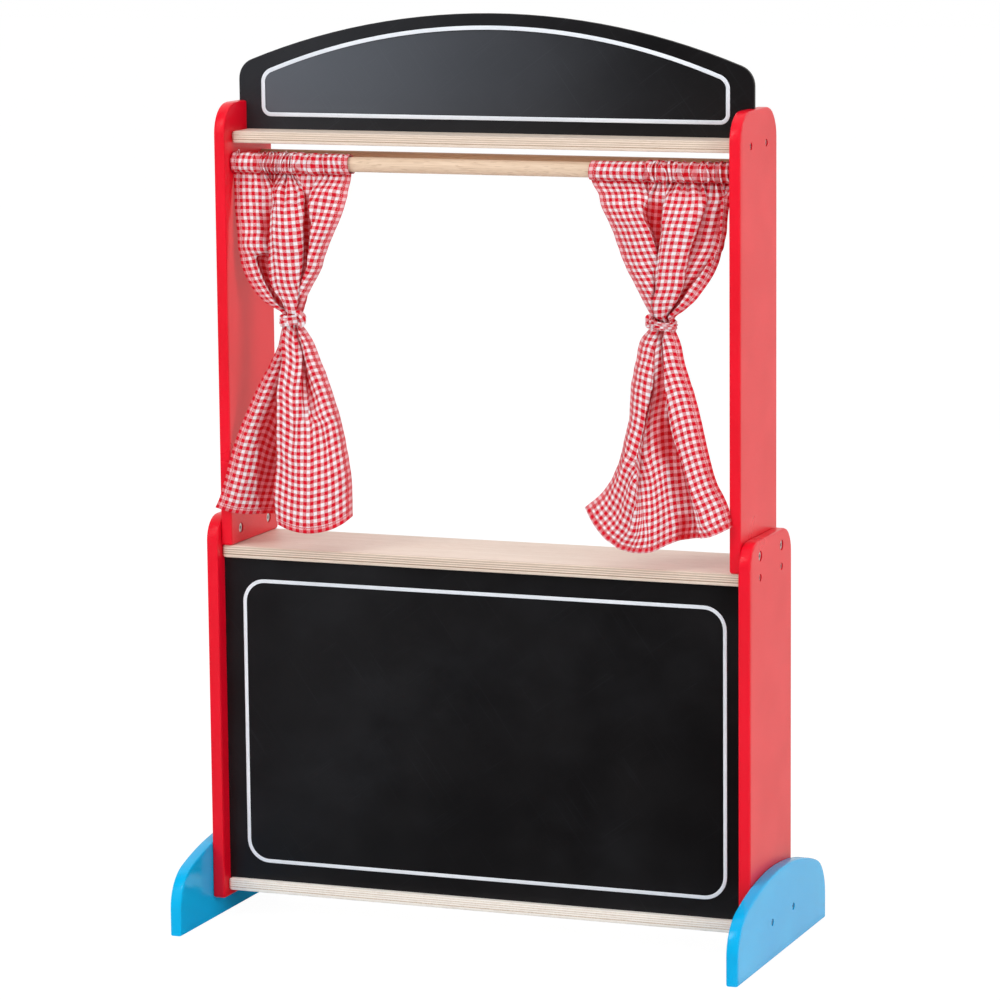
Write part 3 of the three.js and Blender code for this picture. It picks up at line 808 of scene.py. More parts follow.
@dataclass(frozen=True)
class Gingham(Finish):
    """Light cotton in a plain weave of red and white checks, with narrow sewn hems.

    Args:
        white: the undyed thread.
        dye: the dyed thread.
        deep: the dyed thread where it is thickest.
        among_folds: the tint of the painted shade in the folds, red from the light among them.
        thinness: how far the white threads show through the dyed ones.
        seam: how near to the casing's seam its groove and painted shade end and are full, in checks.
        relief: how high the threads stand, in metres.
        glow: how much light goes through the cloth.
        glow_reach: how far it goes, in metres.
    """

    white: Colour = (0.84, 0.80, 0.83)
    dye: Colour = (0.72, 0.004, 0.022)
    deep: Colour = (0.57, 0.001, 0.011)
    among_folds: Colour = (0.80, 0.20, 0.22)
    thinness: float = 0.52
    seam: tuple[float, float] = (0.42, 0.06)
    relief: float = 0.00012
    glow: float = 0.3
    glow_reach: float = 0.0010

    def surface(self, w: Wiring, groups: ShaderGroups, place: Socket) -> dict[str, object]:
        """The shader's inputs, as Finish.surface says. Its places are flat ones from the cloth's maps."""
        checks = w.group(groups.checks, {
            "Place": w.flat_place(WEAVE_MAP), "White": self.white, "Dye": self.dye,
            "Deep dye": self.deep, "Thinness": self.thinness})
        hem = w.group(groups.hem, {"Place": w.flat_place(HEM_MAP)})
        # The fold map holds the painted shade across, and the place down from the casing's seam.
        laid = w.parts(w.flat_place(PAINTED_SHADE_AND_SEAM_MAP))
        seam = w.spread(w.math("ABSOLUTE", laid[1]), *self.seam)
        groove = w.math("MAXIMUM", hem["Groove"], seam)
        doubled = w.mix(w.times(hem["Doubled"], 0.36), checks["Colour"], self.dye)
        # Painted shade: the seam's and the hems' grooves are darkened towards the deep dye.
        groove_shaded = w.mix(w.times(groove, 0.80), doubled, self.deep)
        sewn = w.mix(w.times(hem["Stitch"], 0.3), groove_shaded, self.white)
        raised = w.times_plus(hem["Doubled"], 3.0, checks["Height"])
        return {
            # Painted shade: the colour is darkened and reddened where the folds hide the cloth from the
            # light.
            "Base Color": w.mix(laid[0], sewn, self.among_folds, "MULTIPLY"),
            "Roughness": 0.85,
            "Specular IOR Level": 0.2,
            "Subsurface Weight": self.glow,
            "Subsurface Radius": (1.0, 0.7, 0.7),
            "Subsurface Scale": self.glow_reach,
            "Normal": w.bump(w.times_plus(groove, -2.5, raised), self.relief),
        }


@dataclass
class Finishes:
    """Every finish of the stand, built once.

    Args:
        groups: the shared shader groups.
    """

    groups: ShaderGroups

    def __post_init__(self) -> None:
        """Build the materials that more than one piece takes."""
        self.red = self.made(
            SatinPaint("red_paint_finish", colour=(0.82, 0.002, 0.019), second=(0.73, 0.001, 0.013)))
        self.blue = self.made(
            SatinPaint("blue_paint_finish", colour=(0.001, 0.47, 0.86), second=(0.001, 0.41, 0.80),
                       roughness=0.18))
        self.lower_board = self.made(
            Blackboard("lower_blackboard_finish", wear=0.036, haze=0.012, bottom=0.0, arc=9.0,
                       half_width=0.40))
        self.sign_board = self.made(
            Blackboard("sign_blackboard_finish", wear=0.05, haze=0.31, bottom=0.9826, arc=0.7865))
        self.line = self.made(LinePaint("white_line_finish"))
        self.beech = self.made(BeechRod("beech_finish"))
        # The back rod's beech is painted darker and redder: painted shade under the top shelf, with reddish
        # reflected light.
        self.red_beech = self.made(
            BeechRod("red_beech_finish", light=(0.66, 0.43, 0.27), dark=(0.44, 0.25, 0.135)))
        self.zinc = self.made(ZincPlate("zinc_finish"))
        self.gingham = self.made(Gingham("gingham_finish"))
        self.thread = self.made(SewingThread("sewing_thread_finish"))

    def made(self, finish: Finish) -> Material:
        """The material of one finish."""
        return finish.make(self.groups)

    def birch(self, name: str) -> Material:
        """The plywood finish of one shelf, with its layers at that shelf's height.

        Args:
            name: the shelf's node.

        Returns:
            The material.
        """
        low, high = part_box(name)
        finish = BirchPly(f"{name}_birch", underside=low[2], thickness=high[2] - low[2])
        # The bottom shelf's wood is painted lighter, as painted light from the floor below; the counter's
        # edge plies are darker.
        if name == "bottom_shelf":
            finish = replace(finish, light=(1.0, 0.97, 0.91), dark=(0.95, 0.87, 0.79),
                             cross=(0.78, 0.65, 0.54), glue=(0.42, 0.30, 0.22))
        if name == "counter_shelf":
            finish = replace(finish, cross=(0.40, 0.28, 0.20), glue=(0.22, 0.13, 0.08))
        return self.made(finish)


# Meshes

def object_from(name: str, points: Points, faces: Sequence[Sequence[int]],
                finish: Material) -> Piece:
    """A smooth-shaded object from points and faces.

    Args:
        name: the piece's name.
        points: the corner places, in metres.
        faces: the corners of each face.
        finish: the piece's material.

    Returns:
        The new object, in the scene.
    """
    mesh = bpy.data.meshes.new(name)
    mesh.from_pydata([tuple(point) for point in points], [], [tuple(face) for face in faces])
    mesh.materials.append(finish)
    mesh.polygons.foreach_set("use_smooth", [True] * len(mesh.polygons))
    made = bpy.data.objects.new(name, mesh)
    bpy.context.scene.collection.objects.link(made)
    return made


def grid_faces(rows: int, columns: int, closed: bool = False, looped: bool = False) -> list[tuple[int, ...]]:
    """The faces of a grid of points that is counted row by row.

    Args:
        rows: how many rows there are.
        columns: how many points a row has.
        closed: whether each row is a loop.
        looped: whether the last row joins the first one.

    Returns:
        Four corners for each face.
    """
    faces = []
    for row in range(rows if looped else rows - 1):
        low = row * columns
        high = (row + 1) % rows * columns
        for column in range(columns if closed else columns - 1):
            after = (column + 1) % columns
            faces.append((low + column, low + after, high + after, high + column))
    return faces


def unit(directions: Points) -> Points:
    """A row of directions, each of length 1."""
    return directions / np.linalg.norm(directions, axis=1)[:, None]


def shading_nodes(angle: float, gap: float = 0.00001) -> NodeTree:
    """Geometry nodes that weld separate facets and shade them smooth up to an angle.

    Args:
        angle: the sharpest edge that is still shaded smooth, in degrees.
        gap: how near two corners lie that become one, in metres.

    Returns:
        The node tree.
    """
    tree = bpy.data.node_groups.new("Weld and shade", "GeometryNodeTree")
    tree.interface.new_socket("Geometry", in_out="INPUT", socket_type="NodeSocketGeometry")
    tree.interface.new_socket("Geometry", in_out="OUTPUT", socket_type="NodeSocketGeometry")
    w = Wiring(tree)
    entry = w.node("NodeGroupInput")
    plain = w.node("GeometryNodeRemoveAttribute", {0: entry.outputs[0], 1: "custom_normal"})
    merged = w.node("GeometryNodeMergeByDistance", {0: plain.outputs[0], 2: gap})
    faces = w.node("GeometryNodeSetShadeSmooth", {0: merged.outputs[0], 2: True}, domain="FACE")
    edge = w.node("GeometryNodeInputMeshEdgeAngle")
    soft = w.node("FunctionNodeCompare", {0: edge.outputs[0], 1: math.radians(angle)},
                  data_type="FLOAT", operation="LESS_THAN")
    edges = w.node("GeometryNodeSetShadeSmooth", {0: faces.outputs[0], 2: soft.outputs[0]}, domain="EDGE")
    w.node("NodeGroupOutput", {0: edges.outputs[0]})
    return tree


def dress(name: str, finish: Material, shading: NodeTree) -> None:
    """Give a CAD node its finish, and round its shading by modifiers alone.

    Args:
        name: the CAD node.
        finish: its material.
        shading: the geometry nodes that weld its facets and shade them smooth.
    """
    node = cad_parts[name]
    for slot in node.material_slots:
        slot.link = "OBJECT"
        slot.material = finish
    weld = node.modifiers.new("weld_and_shade", "NODES")
    weld.node_group = shading
    weighted = node.modifiers.new("flat_faces_stay_flat", "WEIGHTED_NORMAL")
    weighted.keep_sharp = True
    weighted.weight = 80


# Wooden parts

@dataclass
class Frame:
    """The rigid parts of the stand, which keep their CAD shapes.

    Args:
        finishes: the stand's finishes.
        soft_angle: the sharpest edge that is shaded smooth, in degrees.
    """

    finishes: Finishes
    soft_angle: float = 36.0

    def build(self) -> None:
        """Dress every rigid node."""
        shading = shading_nodes(self.soft_angle)
        for name in ("bottom_shelf", "counter_shelf", "top_shelf"):
            dress(name, self.finishes.birch(name), shading)
        alone = {
            "lower_chalkboard": self.finishes.lower_board,
            "sign_chalkboard": self.finishes.sign_board,
            "front_curtain_rod": self.finishes.beech,
            "back_rod": self.finishes.red_beech,
        }
        paired = {
            "lower_side_panel": self.finishes.red,
            "upper_side_panel": self.finishes.red,
            "foot": self.finishes.blue,
        }
        for place in ("front", "back"):
            paired.update({f"{place}_{kind.value}": self.finishes.zinc for kind in Fastener})
        for name, finish in alone.items():
            dress(name, finish, shading)
        for side in Side:
            for name, finish in paired.items():
                dress(f"{side.word}_{name}", finish, shading)


@dataclass
class PaintedLine:
    """A border line painted on a board's face, as a thin bead.

    Args:
        name: the piece's name.
        face: the board's front face along Y, in metres.
        half_width: half of the line's outer width.
        bottom: the outer bottom of the line.
        top: the outer top of the line, where it meets the sides.
        corner: the outer corners' radius.
        stroke: the line's width.
        arc_rise: how far the top's middle stands above its ends, or 0 for a straight top.
        middle: where its middle lies across.
        film: how far the bead stands out.
        corner_steps: how many steps a corner has.
        arc_steps: how many steps the arched top has.
        section: the bead's section, as shares of the stroke across and of the film outwards.
    """

    name: str
    face: float
    half_width: float
    bottom: float
    top: float
    corner: float
    stroke: float
    arc_rise: float = 0.0
    middle: float = 0.0
    film: float = 0.00025
    corner_steps: int = 10
    arc_steps: int = 48
    section: tuple[tuple[float, float], ...] = (
        (-0.5, -0.2), (-0.46, 0.55), (-0.25, 1.0), (0.25, 1.0), (0.46, 0.55), (0.5, -0.2))

    def outline(self) -> Points:
        """Draw the middle of the line.

        Returns:
            A closed loop of points along X and Z.
        """
        inset = self.stroke / 2
        half = self.half_width - inset
        low = self.bottom + inset
        high = self.top - inset
        radius = self.corner - inset
        points = []
        corners = [(half - radius, low + radius, -90.0), (half - radius, high - radius, 0.0),
                   (-half + radius, high - radius, 90.0), (-half + radius, low + radius, 180.0)]
        for number, (x, z, start) in enumerate(corners):
            for step in range(self.corner_steps + 1):
                turn = math.radians(start + 90.0 * step / self.corner_steps)
                points.append((x + radius * math.cos(turn), z + radius * math.sin(turn)))
            if number == 1 and self.arc_rise:
                for step in range(1, self.arc_steps):
                    points.append(((half - radius) * (1 - 2 * step / self.arc_steps), high))
        made = np.array(points)
        if self.arc_rise:
            made[:, 1] += self.crown(made[:, 0]) * smoothstep(made[:, 1], low + radius, high - radius)
        return made

    def crown(self, across: Points) -> Points:
        """How far the arched top stands above its ends at each place across."""
        half = self.half_width - self.stroke / 2
        radius = (half * half + self.arc_rise * self.arc_rise) / (2 * self.arc_rise)
        return np.sqrt(radius * radius - across * across) - (radius - self.arc_rise)

    def build(self, finish: Material) -> Piece:
        """Make the bead and let it ride on the stand.

        Args:
            finish: the line's paint.

        Returns:
            The new piece.
        """
        middle = self.outline()
        along = unit(np.roll(middle, -1, axis=0) - np.roll(middle, 1, axis=0))
        outward = np.stack([along[:, 1], -along[:, 0]], axis=1)
        rows = []
        for share, height in self.section:
            flat = middle + outward * share * self.stroke
            depth = np.full(len(flat), self.face - height * self.film)
            rows.append(np.stack([flat[:, 0] + self.middle, depth, flat[:, 1]], axis=1))
        faces = grid_faces(len(rows), len(middle), closed=True, looped=True)
        piece = object_from(self.name, np.concatenate(rows), faces, finish)
        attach(piece, "stand_frame")
        return piece


# Curtains

@dataclass(frozen=True)
class FoldRow:
    """How the cloth lies at one height.

    Args:
        down: shares of the drop, one for the row or one for each column.
        across: shares of the casing's length from the side panel inwards.
        forward: how far each column lies in front of the rod's middle, in millimetres.
        tucked: the stretches between columns that are folded away behind their neighbours.
        depth: how far back those stretches go, in millimetres.
        fullness: how much cloth they hold at most, against their own length.
    """

    down: float | tuple[float, ...]
    across: tuple[float, ...]
    forward: tuple[float, ...]
    tucked: tuple[int, ...]
    depth: float
    fullness: float = 8.0


def fold_rows(tucked: tuple[int, ...], *rows: Sequence) -> tuple[FoldRow, ...]:
    """Fold rows that tuck away the same stretches.

    Args:
        tucked: those stretches.
        rows: for each row, down, across, forward, depth and, where it isn't the usual one, fullness.

    Returns:
        The fold rows.
    """
    return tuple(FoldRow(down, across, forward, tucked, *rest) for down, across, forward, *rest in rows)


@dataclass(frozen=True)
class Crease:
    """A soft ridge or valley across the cloth.

    Args:
        start: where it starts, as shares of the cloth's width and of the drop.
        end: where it ends, in the same shares.
        height: how far it stands forward, in millimetres, or back where it is below 0.
        width: how wide it is, in millimetres.
    """

    start: tuple[float, float]
    end: tuple[float, float]
    height: float
    width: float


@dataclass(frozen=True)
class Pin:
    """A fold column that keeps to one place of the cloth.

    Args:
        column: the column's number.
        first: its share of the cloth's width in the first row.
        last: its share in the last row.
    """

    column: int
    first: float
    last: float


@dataclass(frozen=True)
class Folds:
    """The folds of one curtain above and below its tie-back.

    Args:
        seam_cloth: places across the cloth along the casing's seam, as shares of its width.
        seam_rod: where those places are held, as shares of the casing's length.
        upper: the rows from under the casing to the tie-back.
        lower: the rows from the tie-back to the hem.
        creases: the softer ridges and valleys.
        upper_pins: the columns of the upper rows that hold one place of the cloth.
        lower_pins: the same for the lower rows.
    """

    seam_cloth: tuple[float, ...]
    seam_rod: tuple[float, ...]
    upper: tuple[FoldRow, ...]
    lower: tuple[FoldRow, ...]
    creases: tuple[Crease, ...]
    upper_pins: tuple[Pin, ...]
    lower_pins: tuple[Pin, ...]


LEFT_FOLDS = Folds(
    seam_cloth=(0.0, 0.17, 0.42, 0.68, 1.0),
    seam_rod=(0.0, 0.254, 0.385, 0.519, 0.985),
    upper=fold_rows(
        (4, 7, 9),
        (0.045, (0.01, 0.12, 0.21, 0.27, 0.35, 0.345, 0.475, 0.61, 0.572, 0.665, 0.665, 0.80, 0.965),
                (4, 7, 7, 4, 2, 11, 14, 11, 7, 7, 9, 10, 6), 7),
        (0.085, (0.016, 0.125, 0.21, 0.27, 0.36, 0.342, 0.48, 0.62, 0.569, 0.675, 0.673, 0.80, 0.935),
                (6, 9, 9, 5, 2, 16, 21, 16, 9, 8, 13, 14, 8), 11),
        (0.145, (0.038, 0.14, 0.22, 0.27, 0.36, 0.346, 0.48, 0.615, 0.562, 0.678, 0.672, 0.77, 0.862),
                (8, 12, 12, 8, 2, 19, 25, 20, 10, 9, 15, 17, 8), 13),
        (0.185, (0.046, 0.14, 0.22, 0.275, 0.36, 0.342, 0.475, 0.606, 0.555, 0.672, 0.667, 0.74, 0.812),
                (8, 15, 16, 13, 3, 19, 25, 20, 10, 9, 15, 17, 8), 13),
        (0.205, (0.051, 0.14, 0.22, 0.275, 0.36, 0.340, 0.472, 0.60, 0.552, 0.668, 0.663, 0.725, 0.79),
                (8, 14, 15, 12, 2, 19, 24, 19, 10, 9, 15, 16, 8), 13),
        (0.222, (0.06, 0.14, 0.20, 0.205, 0.36, 0.340, 0.47, 0.597, 0.549, 0.664, 0.66, 0.715, 0.772),
                (8, 11, 10, 3, 0, 19, 24, 19, 10, 9, 15, 16, 8), 12),
        (0.245, (0.075, 0.15, 0.215, 0.21, 0.37, 0.341, 0.467, 0.593, 0.545, 0.66, 0.657, 0.705, 0.753),
                (8, 11, 10, 2, 0, 18, 24, 19, 10, 9, 14, 15, 8), 12),
        (0.30, (0.14, 0.22, 0.29, 0.28, 0.385, 0.358, 0.467, 0.576, 0.532, 0.60, 0.59, 0.625, 0.665),
                (8, 11, 11, 3, 1, 16, 21, 17, 9, 9, 12, 13, 8), 10),
        (0.35, (0.27, 0.33, 0.38, 0.385, 0.43, 0.425, 0.49, 0.556, 0.545, 0.56, 0.557, 0.57, 0.59),
                (9, 12, 12, 5, 3, 14, 17, 14, 5, 5, 11, 11, 8), 7),
        (0.376, (0.405, 0.425, 0.44, 0.445, 0.455, 0.455, 0.487, 0.52, 0.525, 0.53, 0.54, 0.55, 0.56),
                (6, 9, 12, 6, 4, 13, 15, 13, 4, 4, 12, 10, 6), 5),
    ),
    lower=fold_rows(
        (2, 4, 7),
        (0.414, (0.41, 0.425, 0.44, 0.445, 0.455, 0.455, 0.487, 0.52, 0.525, 0.535, 0.548, 0.565, 0.58),
                (6, 10, 12, 6, 4, 13, 15, 13, 5, 6, 12, 11, 7), 5),
    ) + fold_rows(
        (4, 7),
        (0.447, (0.39, 0.40, 0.42, 0.43, 0.45, 0.435, 0.485, 0.532, 0.53, 0.55, 0.585, 0.62, 0.655),
                (7, 11, 12, 9, 4, 15, 18, 16, 8, 9, 14, 14, 8), 8),
        (0.508, (0.312, 0.345, 0.38, 0.41, 0.46, 0.452, 0.517, 0.583, 0.575, 0.605, 0.645, 0.69, 0.732),
                (9, 13, 14, 12, 4, 21, 25, 23, 12, 13, 18, 17, 10), 11),
        (0.592, (0.20, 0.26, 0.32, 0.365, 0.46, 0.421, 0.52, 0.623, 0.625, 0.67, 0.725, 0.78, 0.828),
                (13, 16, 15, 11, 4, 27, 32, 30, 19, 20, 25, 22, 12), 10),
    ) + fold_rows(
        (4,),
        (0.675, (0.103, 0.185, 0.27, 0.345, 0.47, 0.42, 0.55, 0.675, 0.70, 0.74, 0.80, 0.86, 0.914),
                (19, 19, 15, 9, 4, 32, 38, 37, 31, 30, 33, 28, 16), 10),
        (0.757, (0.028, 0.125, 0.225, 0.325, 0.47, 0.417, 0.57, 0.70, 0.745, 0.80, 0.86, 0.92, 0.978),
                (27, 24, 16, 8, 4, 36, 43, 43, 39, 37, 39, 33, 22), 9),
        (0.845, (-0.028, 0.085, 0.20, 0.315, 0.48, 0.415, 0.59, 0.71, 0.776, 0.84, 0.90, 0.96, 1.02),
                (33, 28, 18, 8, 5, 41, 49, 51, 49, 45, 44, 38, 26), 6),
        (0.89, (-0.06, 0.065, 0.195, 0.32, 0.485, 0.418, 0.595, 0.715, 0.778, 0.84, 0.905, 0.97, 1.03),
                (36, 29, 18, 8, 6, 42, 50, 52, 51, 47, 45, 40, 28), 5),
        ((0.927, 0.944, 0.949, 0.947, 0.952, 0.960, 0.978, 0.982, 0.980, 0.976, 0.968, 0.953, 0.934),
                (-0.095, 0.03, 0.17, 0.33, 0.49, 0.44, 0.60, 0.71, 0.78, 0.84, 0.91, 0.985, 1.041),
                (40, 29, 18, 10, 8, 43, 52, 53, 52, 48, 46, 41, 31), 4),
    ),
    creases=(
        Crease((0.99, 0.02), (0.78, 0.13), 2.4, 5.0), Crease((0.97, 0.07), (0.80, 0.19), -2.0, 5.0),
        Crease((0.86, 0.02), (0.76, 0.09), -2.2, 4.0), Crease((0.06, 0.10), (0.16, 0.21), 1.6, 5.0),
        Crease((0.14, 0.05), (0.05, 0.19), -1.4, 5.0), Crease((0.47, 0.00), (0.50, 0.16), -3.6, 3.0),
        Crease((0.55, 0.00), (0.55, 0.13), -3.0, 2.6), Crease((0.62, 0.01), (0.60, 0.15), -3.2, 3.0),
        Crease((0.10, 0.55), (0.04, 0.88), 1.8, 8.0),
        Crease((0.22, 0.60), (0.26, 0.94), -2.0, 9.0), Crease((0.72, 0.55), (0.70, 0.86), -2.4, 8.0),
        Crease((0.80, 0.60), (0.84, 0.86), 1.8, 7.0), Crease((0.92, 0.62), (0.90, 0.90), -1.6, 7.0),
        Crease((0.62, 0.82), (0.80, 0.78), 1.2, 8.0),
    ),
    upper_pins=(Pin(0, 0.0, 0.0), Pin(6, 0.56, 0.50), Pin(8, 0.72, 0.66), Pin(12, 1.0, 1.0)),
    lower_pins=(Pin(0, 0.0, 0.0), Pin(6, 0.66, 0.72), Pin(12, 1.0, 1.0)),
)
RIGHT_FOLDS = Folds(
    seam_cloth=(0.0, 0.11, 0.27, 0.42, 0.60, 0.735, 1.0),
    seam_rod=(0.0, 0.07, 0.20, 0.36, 0.50, 0.607, 0.99),
    upper=fold_rows(
        (1, 4, 7, 10),
        (0.03, (0.035, 0.075, 0.075, 0.12, 0.205, 0.19, 0.32, 0.445, 0.47, 0.50, 0.6, 0.592, 0.76, 0.93),
                (3, 7, 3, 4, 4, 10, 13, 11, 4, 5, 5, 11, 10, 5), 6),
        (0.055, (0.04, 0.076, 0.08, 0.13, 0.235, 0.205, 0.33, 0.452, 0.475, 0.50, 0.625, 0.607, 0.76, 0.91),
                (4, 10, 5, 6, 5, 15, 19, 16, 6, 7, 7, 17, 14, 7), 10),
        (0.078, (0.046, 0.077, 0.085, 0.14, 0.257, 0.226, 0.34, 0.46, 0.482, 0.505, 0.62, 0.60, 0.74, 0.88),
                (5, 12, 6, 8, 6, 18, 23, 19, 7, 8, 8, 20, 16, 8), 12),
        (0.11, (0.05, 0.083, 0.09, 0.155, 0.278, 0.246, 0.36, 0.466, 0.49, 0.515, 0.59, 0.564, 0.71, 0.843),
                (5, 12, 6, 9, 7, 19, 24, 20, 8, 8, 8, 18, 16, 8), 13),
        (0.163, (0.082, 0.10, 0.11, 0.19, 0.32, 0.29, 0.39, 0.482, 0.50, 0.512, 0.555, 0.525, 0.67, 0.798),
                (6, 11, 5, 8, 7, 18, 23, 20, 8, 8, 8, 16, 15, 8), 13),
        (0.215, (0.121, 0.19, 0.185, 0.25, 0.35, 0.32, 0.415, 0.504, 0.515, 0.52, 0.558, 0.53, 0.645, 0.748),
                (6, 12, 4, 8, 7, 17, 22, 19, 8, 7, 8, 14, 14, 8), 12),
        (0.268, (0.196, 0.30, 0.29, 0.32, 0.382, 0.355, 0.44, 0.522, 0.53, 0.535, 0.565, 0.54, 0.61, 0.674),
                (8, 13, 5, 7, 6, 15, 19, 17, 7, 6, 7, 13, 13, 9), 10),
        (0.32, (0.301, 0.38, 0.385, 0.40, 0.436, 0.417, 0.48, 0.539, 0.543, 0.547, 0.572, 0.556, 0.58, 0.604),
                (9, 13, 6, 6, 5, 14, 17, 15, 6, 5, 6, 13, 12, 9), 7),
        (0.352, (0.41, 0.43, 0.435, 0.44, 0.445, 0.46, 0.49, 0.515, 0.52, 0.53, 0.535, 0.54, 0.555, 0.57),
                (6, 11, 6, 5, 4, 13, 15, 13, 5, 4, 5, 12, 10, 6), 5),
    ),
    lower=fold_rows(
        (2, 5),
        (0.382, (0.415, 0.435, 0.46, 0.475, 0.495, 0.51, 0.515, 0.54, 0.56, 0.575),
                (6, 12, 14, 6, 5, 6, 14, 15, 11, 6), 6),
        (0.416, (0.369, 0.42, 0.473, 0.49, 0.51, 0.545, 0.522, 0.57, 0.605, 0.636),
                (9, 15, 16, 12, 13, 12, 17, 17, 13, 9), 7),
        (0.47, (0.331, 0.392, 0.455, 0.475, 0.505, 0.55, 0.522, 0.57, 0.62, 0.665),
                (11, 19, 23, 17, 19, 17, 23, 23, 18, 12), 8),
        (0.55, (0.265, 0.34, 0.43, 0.45, 0.495, 0.56, 0.524, 0.58, 0.637, 0.689),
                (13, 23, 28, 18, 21, 19, 28, 28, 23, 16), 9),
        (0.635, (0.207, 0.295, 0.392, 0.42, 0.50, 0.60, 0.568, 0.615, 0.657, 0.70),
                (15, 26, 31, 18, 20, 21, 30, 31, 27, 20), 8),
        ((0.717, 0.717, 0.717, 0.717, 0.717, 0.717, 0.717, 0.713, 0.707, 0.698),
                (0.153, 0.235, 0.318, 0.355, 0.465, 0.622, 0.60, 0.65, 0.69, 0.728),
                (19, 31, 38, 21, 25, 29, 37, 35, 31, 24), 6, 7.0),
        ((0.795, 0.80, 0.80, 0.80, 0.80, 0.80, 0.80, 0.79, 0.77, 0.745),
                (0.088, 0.165, 0.25, 0.29, 0.42, 0.60, 0.608, 0.665, 0.712, 0.757),
                (23, 36, 42, 24, 31, 37, 41, 38, 33, 27), 4, 4.0),
        ((0.848, 0.862, 0.866, 0.868, 0.873, 0.878, 0.875, 0.862, 0.835, 0.80),
                (0.014, 0.108, 0.20, 0.243, 0.38, 0.55, 0.602, 0.68, 0.75, 0.814),
                (27, 41, 46, 27, 34, 44, 46, 40, 35, 29), 3, 2.4),
        ((0.885, 0.902, 0.908, 0.912, 0.920, 0.932, 0.935, 0.922, 0.885, 0.84),
                (-0.016, 0.085, 0.172, 0.237, 0.36, 0.505, 0.61, 0.72, 0.81, 0.885),
                (29, 46, 46, 28, 33, 49, 47, 40, 34, 31), 2, 1.7),
    ) + fold_rows(
        (),
        ((0.908, 0.930, 0.938, 0.946, 0.956, 0.982, 0.987, 0.978, 0.933, 0.876),
                (-0.032, 0.071, 0.152, 0.235, 0.355, 0.49, 0.61, 0.755, 0.90, 0.989),
                (30, 50, 46, 29, 33, 51, 47, 40, 34, 32), 2, 1.5),
    ),
    creases=(
        Crease((0.70, 0.02), (0.74, 0.11), 2.2, 4.0), Crease((0.92, 0.03), (0.80, 0.15), -1.6, 6.0),
        Crease((0.86, 0.03), (0.76, 0.10), 1.6, 4.5), Crease((0.42, 0.05), (0.38, 0.20), -1.6, 5.0),
        Crease((0.50, 0.04), (0.47, 0.15), 1.4, 4.0), Crease((0.72, 0.42), (0.66, 0.70), 1.6, 6.0),
        Crease((0.86, 0.45), (0.82, 0.85), -1.8, 8.0), Crease((0.95, 0.70), (0.90, 0.90), 1.6, 7.0),
        Crease((0.44, 0.62), (0.40, 0.92), -1.8, 8.0), Crease((0.12, 0.50), (0.10, 0.86), -1.4, 7.0),
        Crease((0.62, 0.70), (0.62, 0.95), -1.6, 9.0),
    ),
    upper_pins=(Pin(0, 0.0, 0.0), Pin(3, 0.19, 0.17), Pin(6, 0.395, 0.40), Pin(9, 0.60, 0.62),
                Pin(13, 1.0, 1.0)),
    lower_pins=(Pin(0, 0.0, 0.0), Pin(4, 0.50, 0.41), Pin(9, 1.0, 1.0)),
)


def hermite(values: Points, knots: Points, at: Points) -> Points:
    """Smooth values between knots, through all of them.

    Args:
        values: one row of values for each knot.
        knots: the rising places of the rows.
        at: the places that are asked for.

    Returns:
        One row of values for each place asked for.
    """
    slopes = np.gradient(values, knots, axis=0)
    number = np.clip(np.searchsorted(knots, at, side="right") - 1, 0, len(knots) - 2)
    width = knots[number + 1] - knots[number]
    share = (at - knots[number]) / width
    extra = (None,) * (values.ndim - 1)
    share = share[(slice(None), *extra)]
    width = width[(slice(None), *extra)]
    square = share * share
    cube = square * share
    return ((2 * cube - 3 * square + 1) * values[number]
            + (cube - 2 * square + share) * width * slopes[number]
            + (3 * square - 2 * cube) * values[number + 1]
            + (cube - square) * width * slopes[number + 1])


def wander(place: Points, length: float, seed: int) -> Points:
    """A smooth wandering value from about -1 to 1, the same on each run.

    Args:
        place: the places along the cloth, in metres.
        length: how long its waves are, in metres.
        seed: which of the wanderings it is.

    Returns:
        One value for each place.
    """
    rng = np.random.default_rng(seed)
    total = np.zeros_like(place, dtype=float)
    for _ in range(4):
        wave = length * rng.uniform(0.6, 1.7)
        total += np.sin(2 * np.pi * (place / wave + rng.uniform()))
    return total / 2.4


def wander_over(u: Points, v: Points, length: float, seed: int) -> Points:
    """A smooth wandering value over the cloth, the same on each run.

    Args:
        u: places across the cloth, in metres.
        v: places along the cloth, in metres.
        length: how long its waves are, in metres.
        seed: which of the wanderings it is.

    Returns:
        One value for each place.
    """
    rng = np.random.default_rng(seed)
    total = np.zeros(np.broadcast(u, v).shape)
    for _ in range(7):
        angle = rng.uniform(0, np.pi)
        wave = length * rng.uniform(0.6, 1.8)
        total += np.sin(2 * np.pi * ((u * np.cos(angle) + v * np.sin(angle)) / wave + rng.uniform()))
    return total / 3.2


